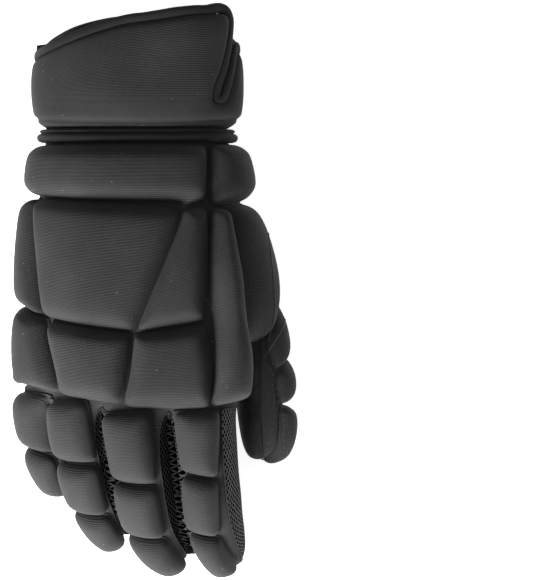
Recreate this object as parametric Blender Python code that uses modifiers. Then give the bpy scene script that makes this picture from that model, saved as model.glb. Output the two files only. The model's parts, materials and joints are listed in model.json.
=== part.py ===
# Right-hand ball hockey glove, lying palm down: fingers towards -Y, thumb towards +X, back of the hand up.
# The hand is a subdivided cage cut into cloth panels, and every foam pad is laid on that cage's surface.

import math

import bmesh
import bpy
from mathutils import Vector
from mathutils.bvhtree import BVHTree
from mathutils.geometry import interpolate_bezier

MM = 0.001

# Hand
HAND_LENGTH = 126 * MM  # wrist seam to the knuckle line
WRIST_SEAM_Y = 72 * MM
PALM_WIDTH = 111 * MM
HAND_HEIGHT = 62 * MM  # floor to the top of the knuckles, without pads
LINER_TAIL = 18 * MM  # length of hand cloth inside the cuff
BACK_CLOTH = 1.4 * MM
MESH_CLOTH = 1.2 * MM
SUEDE = 1.3 * MM
SEAM_GAP = 0.4 * MM
SEAT_GAP = 0.5 * MM  # between a piece and what it is sewn on

# Fingers and thumb
PINKY_LENGTH = 55 * MM
RING_LENGTH = 82.5 * MM
MIDDLE_LENGTH = 92.5 * MM
INDEX_LENGTH = 91.5 * MM
PINKY_WIDTH = 21 * MM
RING_WIDTH = 25 * MM
MIDDLE_WIDTH = 29.5 * MM
INDEX_WIDTH = 29.5 * MM
FINGER_DEPTH = 0.9  # share of a finger's width
THUMB_LENGTH = 66 * MM  # crotch to tip
THUMB_WIDTH = 25 * MM

# Foam
PAD_HEIGHT = 8.5 * MM
FINGER_PAD_HEIGHT = 6.5 * MM
THUMB_PAD_HEIGHT = 6 * MM
GROOVE = 1.3 * MM
SHOULDER = 4.5 * MM
LONG_PAD = 60 * MM  # pads longer than this get more facets

# Wrist roll and cuff
ROLL_LENGTH = 7 * MM
ROLL_HEIGHT = 4.5 * MM
CUFF_WIDTH = 99.4 * MM
CUFF_TOP = 58 * MM
CUFF_FLOOR = 4 * MM  # height of the cuff's flat underside
CUFF_WALL = 6 * MM
CUFF_LENGTH = 57 * MM  # start of the cuff to its edge at the middle of the palm side
CUFF_TAPER = 8 * MM  # length over which the cuff narrows to the roll
SLOT_DEPTH = 44 * MM  # from the corner of the edge to the bottom of the slot
SLOT_GAP = 1.8 * MM
BINDING_WIDTH = 5 * MM
BINDING_THICKNESS = 5.6 * MM

# Closure under the cuff
LAYER_GAP = 0.3 * MM
LOOP_PANEL_THICKNESS = 1.3 * MM
LOOP_PANEL_LENGTH = 30 * MM
STRAP_THICKNESS = 1.1 * MM
STRAP_WIDTH = 26 * MM
LABEL_LENGTH = 45 * MM
LABEL_WIDTH = 22 * MM
LABEL_THICKNESS = 0.7 * MM

# The cuff's edge round the wrist. turn: degrees from the little finger's side over the back; reach: share of
# CUFF_LENGTH from the cuff's start.
CUFF_EDGE_COLUMNS = ("turn", "reach")
CUFF_EDGE = (
    (0, 0.64), (15, 0.665), (37, 0.725), (63, 0.83), (80, 0.91), (93, 0.97), (113, 1.02), (130, 1.03), (158, 1.03),
    (166, 0.76), (174, 0.73), (184, 0.70), (205, 0.78), (235, 0.92), (270, 0.97), (300, 0.89), (330, 0.75),
    (345, 0.68), (360, 0.64),
)
EDGE_CORNERS = (10 * MM, 6 * MM)  # radius of the edge's corners at the slot, on the back and on the thumb side
SLOT_TURN = (163, 141)  # of the slot at the edge and at its bottom

# Hand sections from inside the cuff to the last one before the knuckles.
# along: share of HAND_LENGTH from the wrist seam; centre, half: shares of PALM_WIDTH;
# bottom, top: shares of HAND_HEIGHT; arch: 0 is a plain oval, 1 is the row of knuckles.
SECTION_COLUMNS = ("along", "centre", "half", "bottom", "top", "arch")
SECTIONS = (
    (0.00, -0.068, 0.392, 0.165, 0.820, 0.00),
    (0.21, -0.060, 0.440, 0.165, 0.880, 0.15),
    (0.46, -0.055, 0.462, 0.190, 0.945, 0.50),
    (0.71, -0.056, 0.480, 0.225, 0.965, 0.85),
    (0.88, -0.070, 0.470, 0.240, 0.955, 0.97),
)
OVAL_POWER = 2.7

# Finger roots and bends.
# x: share of PALM_WIDTH; reach: share of HAND_LENGTH past the wrist seam; z: share of HAND_HEIGHT;
# roll: degrees the back of the finger leans to the little finger's side;
# pitch, yaw: degrees down and towards the thumb for each of three bones.
FINGER_COLUMNS = ("name", "length", "width", "x", "reach", "z", "roll", "pitch", "yaw")
FINGERS = (
    ("pinky", PINKY_LENGTH, PINKY_WIDTH, -0.472, 0.918, 0.345, 36, (7, 20, 34), (8, 14, 22)),
    ("ring", RING_LENGTH, RING_WIDTH, -0.318, 0.965, 0.650, 20, (12, 30, 54), (10, 13, 26)),
    ("middle", MIDDLE_LENGTH, MIDDLE_WIDTH, -0.062, 1.000, 0.735, 12, (12, 30, 57), (8, 9, 32)),
    ("index", INDEX_LENGTH, INDEX_WIDTH, 0.226, 1.000, 0.705, 9, (11, 29, 54), (3.5, 7, 24)),
)
BONE_SHARES = (0.36, 0.35, 0.29)
# Loops along a finger. along: share of its length; size: share of its width and depth.
FINGER_LOOPS = ((0.20, 1.0), (0.42, 1.0), (0.63, 0.98), (0.82, 0.92), (0.96, 0.68))
FINGER_CORNER = 0.9  # squareness of a finger's section underneath
FINGER_BACK = (0.66, 0.95)  # edges of the knit strip on a finger's back: shares of half its width and depth

# Thumb loops. out: share of PALM_WIDTH; along: share of THUMB_LENGTH past the crotch;
# z: share of HAND_HEIGHT; size: share of THUMB_WIDTH; twist: degrees round the thumb; corner: squareness.
THUMB_COLUMNS = ("out", "along", "z", "size", "twist", "corner")
THUMB_LOOPS = (
    (0.418, 0.04, 0.300, 0.96, 35, 0.76),
    (0.440, 0.28, 0.300, 0.96, 14, 0.84),
    (0.459, 0.54, 0.300, 0.92, 0, 0.88),
    (0.468, 0.76, 0.296, 0.84, 0, 0.88),
    (0.473, 0.92, 0.288, 0.62, 0, 0.88),
)
THUMB_TIP = (0.475, 0.98, 0.284)
# Where the thumb runs inside the hand, above its first loop, for laying pads: out, along, z.
THUMB_ROOT = (
    (0.250, -1.05, 0.400),
    (0.350, -0.55, 0.350),
)

TOP_LINES = 9
RING_COUNT = 2 + 2 * TOP_LINES
LEFT_SIDE, RIGHT_SIDE = 0, TOP_LINES + 1
THUMB_RINGS = (2, 3, 4)  # rings that bound the thumb's hole
THUMB_LINES = (10, 11, 12)

BIG_PADS = ("band_pad", "main_plate", "index_side_plate", "thumb_side_plate")  # these get more facets

# Foam pads, each four corners on a guide, from the wrist end's left corner round to the tip end's left corner.
# On the hand a corner is (line, along): lines 1 to 9 run over the back from the little finger to the index,
# 10 is the thumb side and 11 to 19 run back under the palm. On a finger or the thumb it is (turn, along):
# turn is quarter turns from the middle of its back, along a share of its length.
PAD_COLUMNS = ("name", "guide", "height", "start_left", "start_right", "end_right", "end_left")
PADS = (
    ("band_pad", "hand", PAD_HEIGHT, (-0.40, 0.015), (7.35, 0.015), (7.08, 0.225), (-0.35, 0.195)),
    ("band_side_pad", "hand", PAD_HEIGHT, (7.50, 0.015), (11.45, 0.015), (11.45, 0.200), (7.25, 0.235)),
    ("wrist_pad", "hand", PAD_HEIGHT, (11.55, 0.015), (12.55, 0.015), (12.45, 0.160), (11.55, 0.170)),
    ("pinky_side_plate", "hand", PAD_HEIGHT, (-0.45, 0.215), (1.05, 0.210), (2.40, 0.660), (-0.35, 0.585)),
    ("main_plate", "hand", PAD_HEIGHT, (1.10, 0.210), (6.28, 0.258), (5.58, 0.715), (2.45, 0.656)),
    ("wedge_plate", "hand", PAD_HEIGHT, (6.33, 0.258), (7.17, 0.256), (7.50, 0.675), (5.65, 0.715)),
    ("index_side_plate", "hand", PAD_HEIGHT, (7.30, 0.250), (8.25, 0.262), (10.20, 0.965), (8.42, 0.995)),
    ("thumb_side_plate", "thumb", PAD_HEIGHT, (0.94, -0.86), (-0.64, -0.93), (0.62, 0.04), (1.08, 0.08)),
    ("pinky_knuckle", "hand", PAD_HEIGHT, (0.20, 0.600), (2.50, 0.672), (3.50, 0.970), (0.50, 0.930)),
    ("middle_knuckle", "hand", PAD_HEIGHT, (2.62, 0.680), (5.53, 0.728), (5.65, 0.983), (3.60, 0.977)),
    ("index_knuckle", "hand", PAD_HEIGHT, (5.62, 0.730), (7.52, 0.690), (8.35, 0.995), (5.73, 0.988)),
    ("pinky_pad_1", "pinky", FINGER_PAD_HEIGHT, (-0.80, 0.060), (0.60, 0.080), (0.28, 0.545), (-0.80, 0.480)),
    ("pinky_pad_2", "pinky", FINGER_PAD_HEIGHT, (-0.80, 0.490), (0.28, 0.555), (0.20, 0.920), (-0.50, 0.900)),
    ("ring_pad_1", "ring", FINGER_PAD_HEIGHT, (-0.80, 0.000), (0.40, 0.005), (0.36, 0.345), (-0.80, 0.325)),
    ("ring_pad_2", "ring", FINGER_PAD_HEIGHT, (-0.80, 0.335), (0.36, 0.355), (0.33, 0.655), (-0.60, 0.616)),
    ("ring_pad_3", "ring", FINGER_PAD_HEIGHT, (-0.60, 0.626), (0.33, 0.665), (0.33, 0.920), (-0.35, 0.920)),
    ("middle_pad_1", "middle", FINGER_PAD_HEIGHT, (-0.62, 0.000), (0.37, 0.011), (0.27, 0.362), (-0.70, 0.340)),
    ("middle_pad_2", "middle", FINGER_PAD_HEIGHT, (-0.70, 0.350), (0.27, 0.373), (0.29, 0.643), (-0.60, 0.612)),
    ("middle_pad_3", "middle", FINGER_PAD_HEIGHT, (-0.60, 0.622), (0.30, 0.653), (0.25, 0.900), (-0.35, 0.880)),
    ("index_pad_1", "index", FINGER_PAD_HEIGHT, (-0.45, 0.000), (0.36, 0.010), (0.25, 0.334), (-0.48, 0.305)),
    ("index_pad_2", "index", FINGER_PAD_HEIGHT, (-0.48, 0.315), (0.25, 0.345), (0.14, 0.632), (-0.52, 0.600)),
    ("index_pad_3", "index", FINGER_PAD_HEIGHT, (-0.52, 0.612), (0.14, 0.644), (0.16, 0.880), (-0.40, 0.870)),
    ("thumb_pad_4", "thumb", THUMB_PAD_HEIGHT, (-0.84, -0.93), (-1.34, -0.97), (-1.30, -0.66), (0.36, -0.14)),
    ("thumb_pad_3", "thumb", THUMB_PAD_HEIGHT, (0.52, 0.02), (-1.30, -0.62), (-1.25, -0.02), (0.40, 0.30)),
    ("thumb_pad_2", "thumb", THUMB_PAD_HEIGHT, (0.40, 0.31), (-1.25, -0.01), (-1.20, 0.50), (0.36, 0.55)),
    ("thumb_pad_1", "thumb", THUMB_PAD_HEIGHT, (0.36, 0.56), (-1.20, 0.51), (-1.05, 0.93), (0.25, 0.95)),
)

PANELS = ("back_shell", "palm", "thumb_palm", "mesh_pinky", "mesh_ring", "mesh_middle", "mesh_index")
PANEL_WALL = (BACK_CLOTH, SUEDE, SUEDE, MESH_CLOTH, MESH_CLOTH, MESH_CLOTH, MESH_CLOTH)


def clear_scene():
    for obj in list(bpy.data.objects):
        bpy.data.objects.remove(obj)


def new_collection(name):
    collection = bpy.data.collections.new(name)
    bpy.context.scene.collection.children.link(collection)
    return collection


def material(name, color, roughness):
    made = bpy.data.materials.new(name)
    made.use_nodes = True
    shader = made.node_tree.nodes["Principled BSDF"]
    shader.inputs["Base Color"].default_value = (*color, 1)
    shader.inputs["Roughness"].default_value = roughness
    shader.inputs["Metallic"].default_value = 0
    made.diffuse_color = (*color, 1)
    return made


def object_from(bm, name, collection, look=None):
    bmesh.ops.recalc_face_normals(bm, faces=bm.faces)
    mesh = bpy.data.meshes.new(name)
    bm.to_mesh(mesh)
    bm.free()
    obj = bpy.data.objects.new(name, mesh)
    collection.objects.link(obj)
    if look:
        mesh.materials.append(look)
        mesh.shade_smooth()
        mesh.set_sharp_from_angle(angle=math.radians(50))
    return obj


def hide_guide(obj):
    obj.hide_render = True
    obj.display_type = "WIRE"


def smooth_value(xs, ys, x):
    """Value at x of a smooth curve through the points (xs, ys), held at both ends."""
    if x <= xs[0]:
        return ys[0]
    if x >= xs[-1]:
        return ys[-1]
    i = max(k for k in range(len(xs) - 1) if xs[k] <= x)
    slopes = []
    for k in (i, i + 1):
        low, high = max(k - 1, 0), min(k + 1, len(xs) - 1)
        slopes.append((ys[high] - ys[low]) / (xs[high] - xs[low]))
    span = xs[i + 1] - xs[i]
    t = (x - xs[i]) / span
    return (
        (1 + 2 * t) * (1 - t) ** 2 * ys[i]
        + t * (1 - t) ** 2 * span * slopes[0]
        + t * t * (3 - 2 * t) * ys[i + 1]
        - t * t * (1 - t) * span * slopes[1]
    )


def section_at(along):
    """(centre x, half width, bottom z, top z, arch) of the hand at this share of its length."""
    xs = [row[0] for row in SECTIONS]
    scales = (PALM_WIDTH, PALM_WIDTH, HAND_HEIGHT, HAND_HEIGHT, 1)
    return [
        smooth_value(xs, [row[c + 1] for row in SECTIONS], along) * scale
        for c, scale in enumerate(scales)
    ]


def hand_y(along):
    return WRIST_SEAM_Y - along * HAND_LENGTH


class Finger:
    """One finger's centre line and cross-section axes."""

    def __init__(self, row):
        self.name, self.length, self.width, x, reach, z, roll, pitches, yaws = row
        self.roll = math.radians(roll)
        point = Vector((x * PALM_WIDTH, hand_y(reach), z * HAND_HEIGHT))
        self.knots = [point]
        for share, pitch, yaw in zip(BONE_SHARES, pitches, yaws):
            down, turn = math.radians(pitch), math.radians(yaw)
            step = Vector((math.sin(turn) * math.cos(down), -math.cos(turn) * math.cos(down), -math.sin(down)))
            point = point + step * share * self.length
            self.knots.append(point)

    def centre(self, along):
        if along < 0:
            return self.knots[0] + Vector((0, -1, 0)) * along * self.length
        xs = [0, BONE_SHARES[0], BONE_SHARES[0] + BONE_SHARES[1], 1]
        inside = min(along, 1)
        point = Vector([smooth_value(xs, [k[c] for k in self.knots], inside) for c in range(3)])
        return point + self.heading(1) * (along - inside) * self.length

    def heading(self, along):
        step = 0.04
        low, high = max(min(along, 1) - step, 0), min(along + step, 1)
        if along <= 0:
            return Vector((0, -1, 0))
        xs = [0, BONE_SHARES[0], BONE_SHARES[0] + BONE_SHARES[1], 1]
        ends = [
            Vector([smooth_value(xs, [k[c] for k in self.knots], t) for c in range(3)])
            for t in (low, high)
        ]
        return (ends[1] - ends[0]).normalized()

    def axes(self, along):
        """(side, back): across the finger towards the thumb, and out of its back."""
        forward = self.heading(along)
        side = forward.cross(Vector((0, 0, 1))).normalized() * -1
        up = side.cross(forward).normalized()
        if up.z < 0:
            up.negate()
        return side * math.cos(self.roll) + up * math.sin(self.roll), up * math.cos(self.roll) - side * math.sin(
            self.roll
        )

    def loop(self, along, size):
        """Eight points round the finger: back left, back, back right, right, then below."""
        centre = self.centre(along)
        side, back = self.axes(along)
        half_width = self.width / 2 * size
        half_depth = half_width * FINGER_DEPTH
        c = FINGER_CORNER
        x, z = FINGER_BACK
        around = ((-x, z), (0, 1), (x, z), (1, 0), (c, -c), (0, -1), (-c, -c), (-1, 0))
        return [centre + side * half_width * x + back * half_depth * z for x, z in around]


def knuckle_ring(fingers):
    """The finger roots as one ring, with neighbours sharing their meeting points, and those points' middles."""
    loops = [finger.loop(0, 1) for finger in fingers]
    for left, right in zip(loops, loops[1:]):
        for a, b in ((2, 0), (3, 7), (4, 6)):
            shared = (left[a] + right[b]) / 2
            left[a] = shared
            right[b] = shared
    top = [loops[0][0]]
    bottom = [loops[0][6]]
    for loop in loops:
        top += [loop[1], loop[2]]
        bottom += [loop[5], loop[4]]
    ring = [loops[0][7], *top, loops[-1][3], *reversed(bottom)]
    return ring, [loop[3] for loop in loops[:-1]]


def oval_point(k, centre, half, bottom, top):
    """Point k of a plain oval ring, numbered like the knuckle ring."""
    angle = math.pi * (1 - k / (TOP_LINES + 1))
    x, z = math.cos(angle), math.sin(angle)
    power = 2 / OVAL_POWER
    return (
        centre + half * math.copysign(abs(x) ** power, x),
        (top + bottom) / 2 + (top - bottom) / 2 * math.copysign(abs(z) ** power, z),
    )


def hand_ring(along, tail, knuckles):
    """One ring of the hand: an oval at the wrist that turns into the row of knuckles."""
    centre, half, bottom, top, arch = section_at(along)
    xs = [p.x for p in knuckles]
    zs = [p.z for p in knuckles]
    x_mid, x_half = (max(xs) + min(xs)) / 2, (max(xs) - min(xs)) / 2
    z_mid, z_half = (max(zs) + min(zs)) / 2, (max(zs) - min(zs)) / 2
    ring = []
    for k, knuckle in enumerate(knuckles):
        x, z = oval_point(k, centre, half, bottom, top)
        arched_x = centre + half * (knuckle.x - x_mid) / x_half
        arched_z = (top + bottom) / 2 + (top - bottom) / 2 * (knuckle.z - z_mid) / z_half
        ring.append(
            Vector((x + (arched_x - x) * arch, hand_y(along) + tail, z + (arched_z - z) * arch))
        )
    return ring


def thumb_centre(out, along, z):
    crotch = hand_y(SECTIONS[THUMB_RINGS[-1] - 1][0])
    return Vector((out * PALM_WIDTH, crotch - along * THUMB_LENGTH, z * HAND_HEIGHT))


def thumb_loop(row):
    """Eight points round the thumb from its outer side over its top."""
    out, along, z, size, twist, corner = row
    centre = thumb_centre(out, along, z)
    half = size * THUMB_WIDTH / 2
    c = corner
    loop = []
    for x, up in ((1, 0), (c, c), (0, 1), (-c, c), (-1, 0), (-c, -c), (0, -1), (c, -c)):
        turn = math.radians(-twist)
        x, up = x * math.cos(turn) - up * math.sin(turn), x * math.sin(turn) + up * math.cos(turn)
        loop.append(centre + Vector((x * half, 0.25 * x * half, up * half)))
    return loop


def build_cage(fingers, collection):
    """The hand as a coarse cage of quads. Each face's material index is its panel."""
    bm = bmesh.new()
    knuckles, crotches = knuckle_ring(fingers)
    rings = [hand_ring(0, LINER_TAIL, knuckles)]
    rings += [hand_ring(row[0], 0, knuckles) for row in SECTIONS]
    rings.append(knuckles)
    verts = [[bm.verts.new(p) for p in ring] for ring in rings]
    crotch_verts = [bm.verts.new(p) for p in crotches]

    def face(corners, panel):
        made = bm.faces.new(corners)
        made.material_index = PANELS.index(panel)

    for i in range(len(verts) - 1):
        for k in range(RING_COUNT):
            in_thumb_hole = i in THUMB_RINGS[:2] and k in THUMB_LINES[:2]
            if in_thumb_hole:
                continue
            if k <= RIGHT_SIDE:
                panel = "back_shell"
            elif k == RING_COUNT - 1:
                panel = "mesh_pinky"
            else:
                panel = "palm"
            after = (k + 1) % RING_COUNT
            face([verts[i][k], verts[i][after], verts[i + 1][after], verts[i + 1][k]], panel)

    root = verts[-1]
    for f, finger in enumerate(fingers):
        top = [root[1 + 2 * f + n] for n in range(3)]
        bottom = [root[RING_COUNT - 1 - 2 * f - n] for n in range(3)]
        left = crotch_verts[f - 1] if f else root[LEFT_SIDE]
        right = crotch_verts[f] if f < len(fingers) - 1 else root[RIGHT_SIDE]
        loop = [*top, right, bottom[2], bottom[1], bottom[0], left]
        mesh_panel = "mesh_" + finger.name
        panels = ("back_shell",) * 2 + (mesh_panel,) * 2 + ("palm",) * 2 + (mesh_panel,) * 2
        for along, size in FINGER_LOOPS:
            ahead = [bm.verts.new(p) for p in finger.loop(along, size)]
            for n in range(8):
                m = (n + 1) % 8
                face([loop[n], loop[m], ahead[m], ahead[n]], panels[n])
            loop = ahead
        tip = bm.verts.new(finger.centre(1.0))
        for n in (1, 3, 5, 7):
            face([loop[n], loop[(n + 1) % 8], loop[(n + 2) % 8], tip], mesh_panel)

    low, mid, high = (verts[i] for i in THUMB_RINGS)
    upper, side, lower = THUMB_LINES
    loop = [
        low[side], low[upper], mid[upper], high[upper],
        high[side], high[lower], mid[lower], low[lower],
    ]
    panels = ("back_shell",) * 2 + ("thumb_palm",) * 4 + ("back_shell",) * 2
    for row in THUMB_LOOPS:
        ahead = [bm.verts.new(point) for point in thumb_loop(row)]
        for n in range(8):
            m = (n + 1) % 8
            face([loop[n], loop[m], ahead[m], ahead[n]], panels[n])
        loop = ahead
    tip = bm.verts.new(thumb_centre(*THUMB_TIP))
    for n, panel in ((0, "back_shell"), (2, "thumb_palm"), (4, "thumb_palm"), (6, "back_shell")):
        face([loop[n], loop[n + 1], loop[(n + 2) % 8], tip], panel)

    bmesh.ops.delete(bm, geom=[v for v in bm.verts if not v.link_faces], context="VERTS")
    cage = object_from(bm, "hand_cage", collection)
    for panel in PANELS:
        cage.data.materials.append(bpy.data.materials.get("panel_" + panel) or bpy.data.materials.new("panel_" + panel))
    hide_guide(cage)
    return cage


def subdivided(cage, levels):
    """The cage's smooth surface as a new bmesh."""
    modifier = cage.modifiers.new("subdivision", "SUBSURF")
    modifier.levels = levels
    modifier.render_levels = levels
    modifier.boundary_smooth = "PRESERVE_CORNERS"
    graph = bpy.context.evaluated_depsgraph_get()
    graph.update()
    mesh = bpy.data.meshes.new_from_object(cage.evaluated_get(graph))
    cage.modifiers.remove(modifier)
    bm = bmesh.new()
    bm.from_mesh(mesh)
    bpy.data.meshes.remove(mesh)
    bm.normal_update()
    return bm


class HandGuide:
    """Smooth surface through the hand's rings, for placing pads by (line, along)."""

    def __init__(self, fingers):
        knuckles = knuckle_ring(fingers)[0]
        self.alongs = [-LINER_TAIL / HAND_LENGTH] + [row[0] for row in SECTIONS] + [1]
        self.rings = [hand_ring(0, LINER_TAIL, knuckles)]
        self.rings += [hand_ring(row[0], 0, knuckles) for row in SECTIONS]
        self.rings.append(knuckles)
        self.middle = [sum(ring, Vector()) / len(ring) for ring in self.rings]

    def on_ring(self, ring, line):
        k = math.floor(line)
        t = line - k
        a, b, c, d = (ring[(k + n) % RING_COUNT] for n in (-1, 0, 1, 2))
        return (b * 2 + (c - a) * t + (a * 2 - b * 5 + c * 4 - d) * t * t + (b * 3 - a - c * 3 + d) * t**3) / 2

    def ray(self, line, along):
        """(start outside the hand, direction inwards)."""
        points = [self.on_ring(ring, line) for ring in self.rings]
        at = Vector([smooth_value(self.alongs, [p[c] for p in points], along) for c in range(3)])
        step = 0.02
        ahead = Vector([smooth_value(self.alongs, [p[c] for p in points], along + step) for c in range(3)])
        behind = Vector([smooth_value(self.alongs, [p[c] for p in points], along - step) for c in range(3)])
        sides = []
        for turn in (-0.3, 0.3):
            near = [self.on_ring(ring, line + turn) for ring in self.rings]
            sides.append(Vector([smooth_value(self.alongs, [p[c] for p in near], along) for c in range(3)]))
        outward = (sides[1] - sides[0]).cross(ahead - behind).normalized() * -1
        return at + outward * PAD_HEIGHT * 3, -outward


class FingerGuide:
    """A finger's surface by (turn, along)."""

    def __init__(self, finger):
        self.finger = finger

    def ray(self, turn, along):
        side, back = self.finger.axes(along)
        angle = math.radians(90 * turn)
        outward = side * math.sin(angle) + back * math.cos(angle)
        return self.finger.centre(along) + outward * self.finger.width, -outward


class ThumbGuide:
    """The thumb's surface by (turn, along); turn 0 is its outer side and rises over its top."""

    def ray(self, turn, along):
        rows = THUMB_ROOT + tuple(row[:3] for row in THUMB_LOOPS)
        alongs = [row[1] for row in rows]
        out, z = (smooth_value(alongs, [row[c] for row in rows], along) for c in (0, 2))
        centre = thumb_centre(out, along, z)
        angle = math.radians(90 * turn)
        outward = Vector((math.cos(angle), 0, math.sin(angle)))
        return centre + outward * THUMB_WIDTH * 1.5, -outward


class Base:
    """The hand's smooth surface, for laying pads on."""

    def __init__(self, cage):
        self.bm = subdivided(cage, 3)
        self.tree = BVHTree.FromBMesh(self.bm)
        self.faceted = subdivided(cage, 1)
        self.faceted_tree = BVHTree.FromBMesh(self.faceted)

    def lift_clear(self, grid, outward):
        """Raise a grid of points until the facets between them clear the hand's facets."""
        rows, columns = len(grid), len(grid[0])
        for _ in range(6):
            lifts = [[0] * columns for _ in range(rows)]
            for i in range(rows - 1):
                for j in range(columns - 1):
                    corners = ((i, j), (i, j + 1), (i + 1, j + 1), (i + 1, j))
                    quad = [grid[a][b] for a, b in corners]
                    middle = sum(quad, Vector()) / 4
                    spots = quad + [(a + b) / 2 for a, b in zip(quad, quad[1:] + quad[:1])]
                    spots += [middle] + [(middle * w + q * (1 - w)) for q in quad for w in (0.3, 0.65)]
                    lack = 0
                    for spot in spots:
                        for tree in (self.tree, self.faceted_tree):
                            near, normal, _, _ = tree.find_nearest(spot)
                            lack = max(lack, SEAT_GAP * 0.8 - (spot - near).dot(normal))
                    lack = min(lack, 1.5 * MM)
                    for a, b in corners:
                        lifts[a][b] = max(lifts[a][b], lack)
            if max(max(row) for row in lifts) <= 0:
                break
            for i in range(rows):
                for j in range(columns):
                    grid[i][j] = grid[i][j] + outward[i][j] * lifts[i][j]

    def land(self, start, inward):
        hit, normal, _, _ = self.tree.ray_cast(start, inward)
        if hit is None:
            hit, normal, _, _ = self.tree.find_nearest(start)
        if normal.dot(inward) > 0:
            normal = -normal
        return hit, normal


def pad_lines(length, cells):
    """Cell edges over -1 to 1, crowded at the shoulders."""
    shoulder = min(SHOULDER / (length / 2), 0.6)
    inner = cells - 4
    lines = [-1, -1 + shoulder * 0.35, -1 + shoulder]
    lines += [(-1 + shoulder) + (2 - 2 * shoulder) * (n + 1) / inner for n in range(inner - 1)]
    lines += [1 - shoulder, 1 - shoulder * 0.35, 1]
    return lines


def pad_height(edge_distance, height):
    """Height of the foam this far from its edge: a short wall, then a round shoulder."""
    rise = min(edge_distance / SHOULDER, 1)
    wall = 0.45
    return height * (wall + (1 - wall) * math.sqrt(1 - (1 - rise) ** 2))


def smoothed_landing(rays, base, columns, rows):
    """Where a grid of rays lands on the hand, bridging over its creases."""
    depths = []
    for start, inward in rays:
        hit, _ = base.land(start, inward)
        depths.append((hit - start).dot(inward))
    for _ in range(3):
        relaxed = list(depths)
        for i in range(rows):
            for j in range(columns):
                near = [
                    depths[a * columns + b]
                    for a, b in ((i - 1, j), (i + 1, j), (i, j - 1), (i, j + 1))
                    if 0 <= a < rows and 0 <= b < columns
                ]
                relaxed[i * columns + j] = min(depths[i * columns + j], sum(near) / len(near))
        depths = relaxed
    points = [start + inward * depth for (start, inward), depth in zip(rays, depths)]
    return [points[i * columns:(i + 1) * columns] for i in range(rows)]


def build_pad(row, guides, base, collection, look, cells=6):
    name, guide_name, height, *corners = row
    guide = guides[guide_name]
    corner_points = [base.land(*guide.ray(*corner))[0] for corner in corners]
    across = ((corner_points[1] - corner_points[0]).length + (corner_points[2] - corner_points[3]).length) / 2
    down = ((corner_points[3] - corner_points[0]).length + (corner_points[2] - corner_points[1]).length) / 2
    us, vs = pad_lines(across, cells), pad_lines(down, cells + 2 if down > LONG_PAD else cells)
    rays = []
    for v in vs:
        for u in us:
            round_u = u * (1 - 0.07 * abs(v) ** 5) * (1 - GROOVE / across)
            round_v = v * (1 - 0.07 * abs(u) ** 5) * (1 - GROOVE / down)
            s, t = (round_u + 1) / 2, (round_v + 1) / 2
            spot = [
                (corners[0][c] * (1 - s) + corners[1][c] * s) * (1 - t)
                + (corners[3][c] * (1 - s) + corners[2][c] * s) * t
                for c in range(2)
            ]
            rays.append(guide.ray(*spot))
    points = smoothed_landing(rays, base, len(us), len(vs))
    normals = []
    for i in range(len(vs)):
        normals.append([])
        for j in range(len(us)):
            below, above = points[max(i - 1, 0)][j], points[min(i + 1, len(vs) - 1)][j]
            before, after = points[i][max(j - 1, 0)], points[i][min(j + 1, len(us) - 1)]
            normal = (after - before).cross(above - below).normalized()
            if normal.dot(rays[i * len(us) + j][1]) > 0:
                normal.negate()
            normals[i].append(normal)
    seat = [[point + normal * SEAT_GAP for point, normal in zip(*pair)] for pair in zip(points, normals)]
    base.lift_clear(seat, normals)
    bm = bmesh.new()
    layers = ([], [])
    for i, v in enumerate(vs):
        rows = ([], [])
        width = (seat[i][-1] - seat[i][0]).length
        for j, u in enumerate(us):
            length = (seat[-1][j] - seat[0][j]).length
            distance = min((1 - abs(u)) * width, (1 - abs(v)) * length) / 2
            rows[0].append(bm.verts.new(seat[i][j]))
            rows[1].append(bm.verts.new(seat[i][j] + normals[i][j] * pad_height(distance, height)))
        layers[0].append(rows[0])
        layers[1].append(rows[1])
    for i in range(len(vs) - 1):
        for j in range(len(us) - 1):
            for layer in layers:
                bm.faces.new((layer[i][j], layer[i][j + 1], layer[i + 1][j + 1], layer[i + 1][j]))
    edge = [(0, j) for j in range(len(us))] + [(i, len(us) - 1) for i in range(1, len(vs))]
    edge += [(len(vs) - 1, j) for j in range(len(us) - 2, -1, -1)] + [(i, 0) for i in range(len(vs) - 2, 0, -1)]
    for (a, b), (c, d) in zip(edge, edge[1:] + edge[:1]):
        bm.faces.new((layers[0][a][b], layers[0][c][d], layers[1][c][d], layers[1][a][b]))
    return object_from(bm, name, collection, look)


def build_panels(cage, collection, looks):
    """Each panel of the hand as a wall of its own, set back from its seams."""
    surface = subdivided(cage, 1)
    for index, name in enumerate(PANELS):
        bm = surface.copy()
        bm.verts.layers.float_vector.new("outward")
        outward = bm.verts.layers.float_vector["outward"]
        for vert in bm.verts:
            # thinner cloth in sharp creases, so that walls on both sides of one don't meet
            flatness = min(f.normal.dot(vert.normal) for f in vert.link_faces)
            vert[outward] = vert.normal * max(min(flatness * 1.1, 1), 0.4)
        other = [f for f in bm.faces if f.material_index != index]
        bmesh.ops.delete(bm, geom=other, context="FACES")
        rim = bmesh.ops.inset_region(
            bm, faces=bm.faces[:], use_boundary=True, use_even_offset=True, thickness=SEAM_GAP / 2, depth=0
        )
        bmesh.ops.delete(bm, geom=rim["faces"], context="FACES")
        made = bmesh.ops.extrude_face_region(bm, geom=bm.faces[:], use_keep_orig=True)
        for vert in [g for g in made["geom"] if isinstance(g, bmesh.types.BMVert)]:
            vert.co -= Vector(vert[outward]) * PANEL_WALL[index]
        for f in bm.faces:
            f.material_index = 0
        object_from(bm, name, collection, looks[name])
    surface.free()


def cuff_start():
    return WRIST_SEAM_Y + ROLL_LENGTH


def cuff_edge_y(turn):
    turns = [row[0] for row in CUFF_EDGE]
    return cuff_start() + smooth_value(turns, [row[1] for row in CUFF_EDGE], turn % 360) * CUFF_LENGTH


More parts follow.
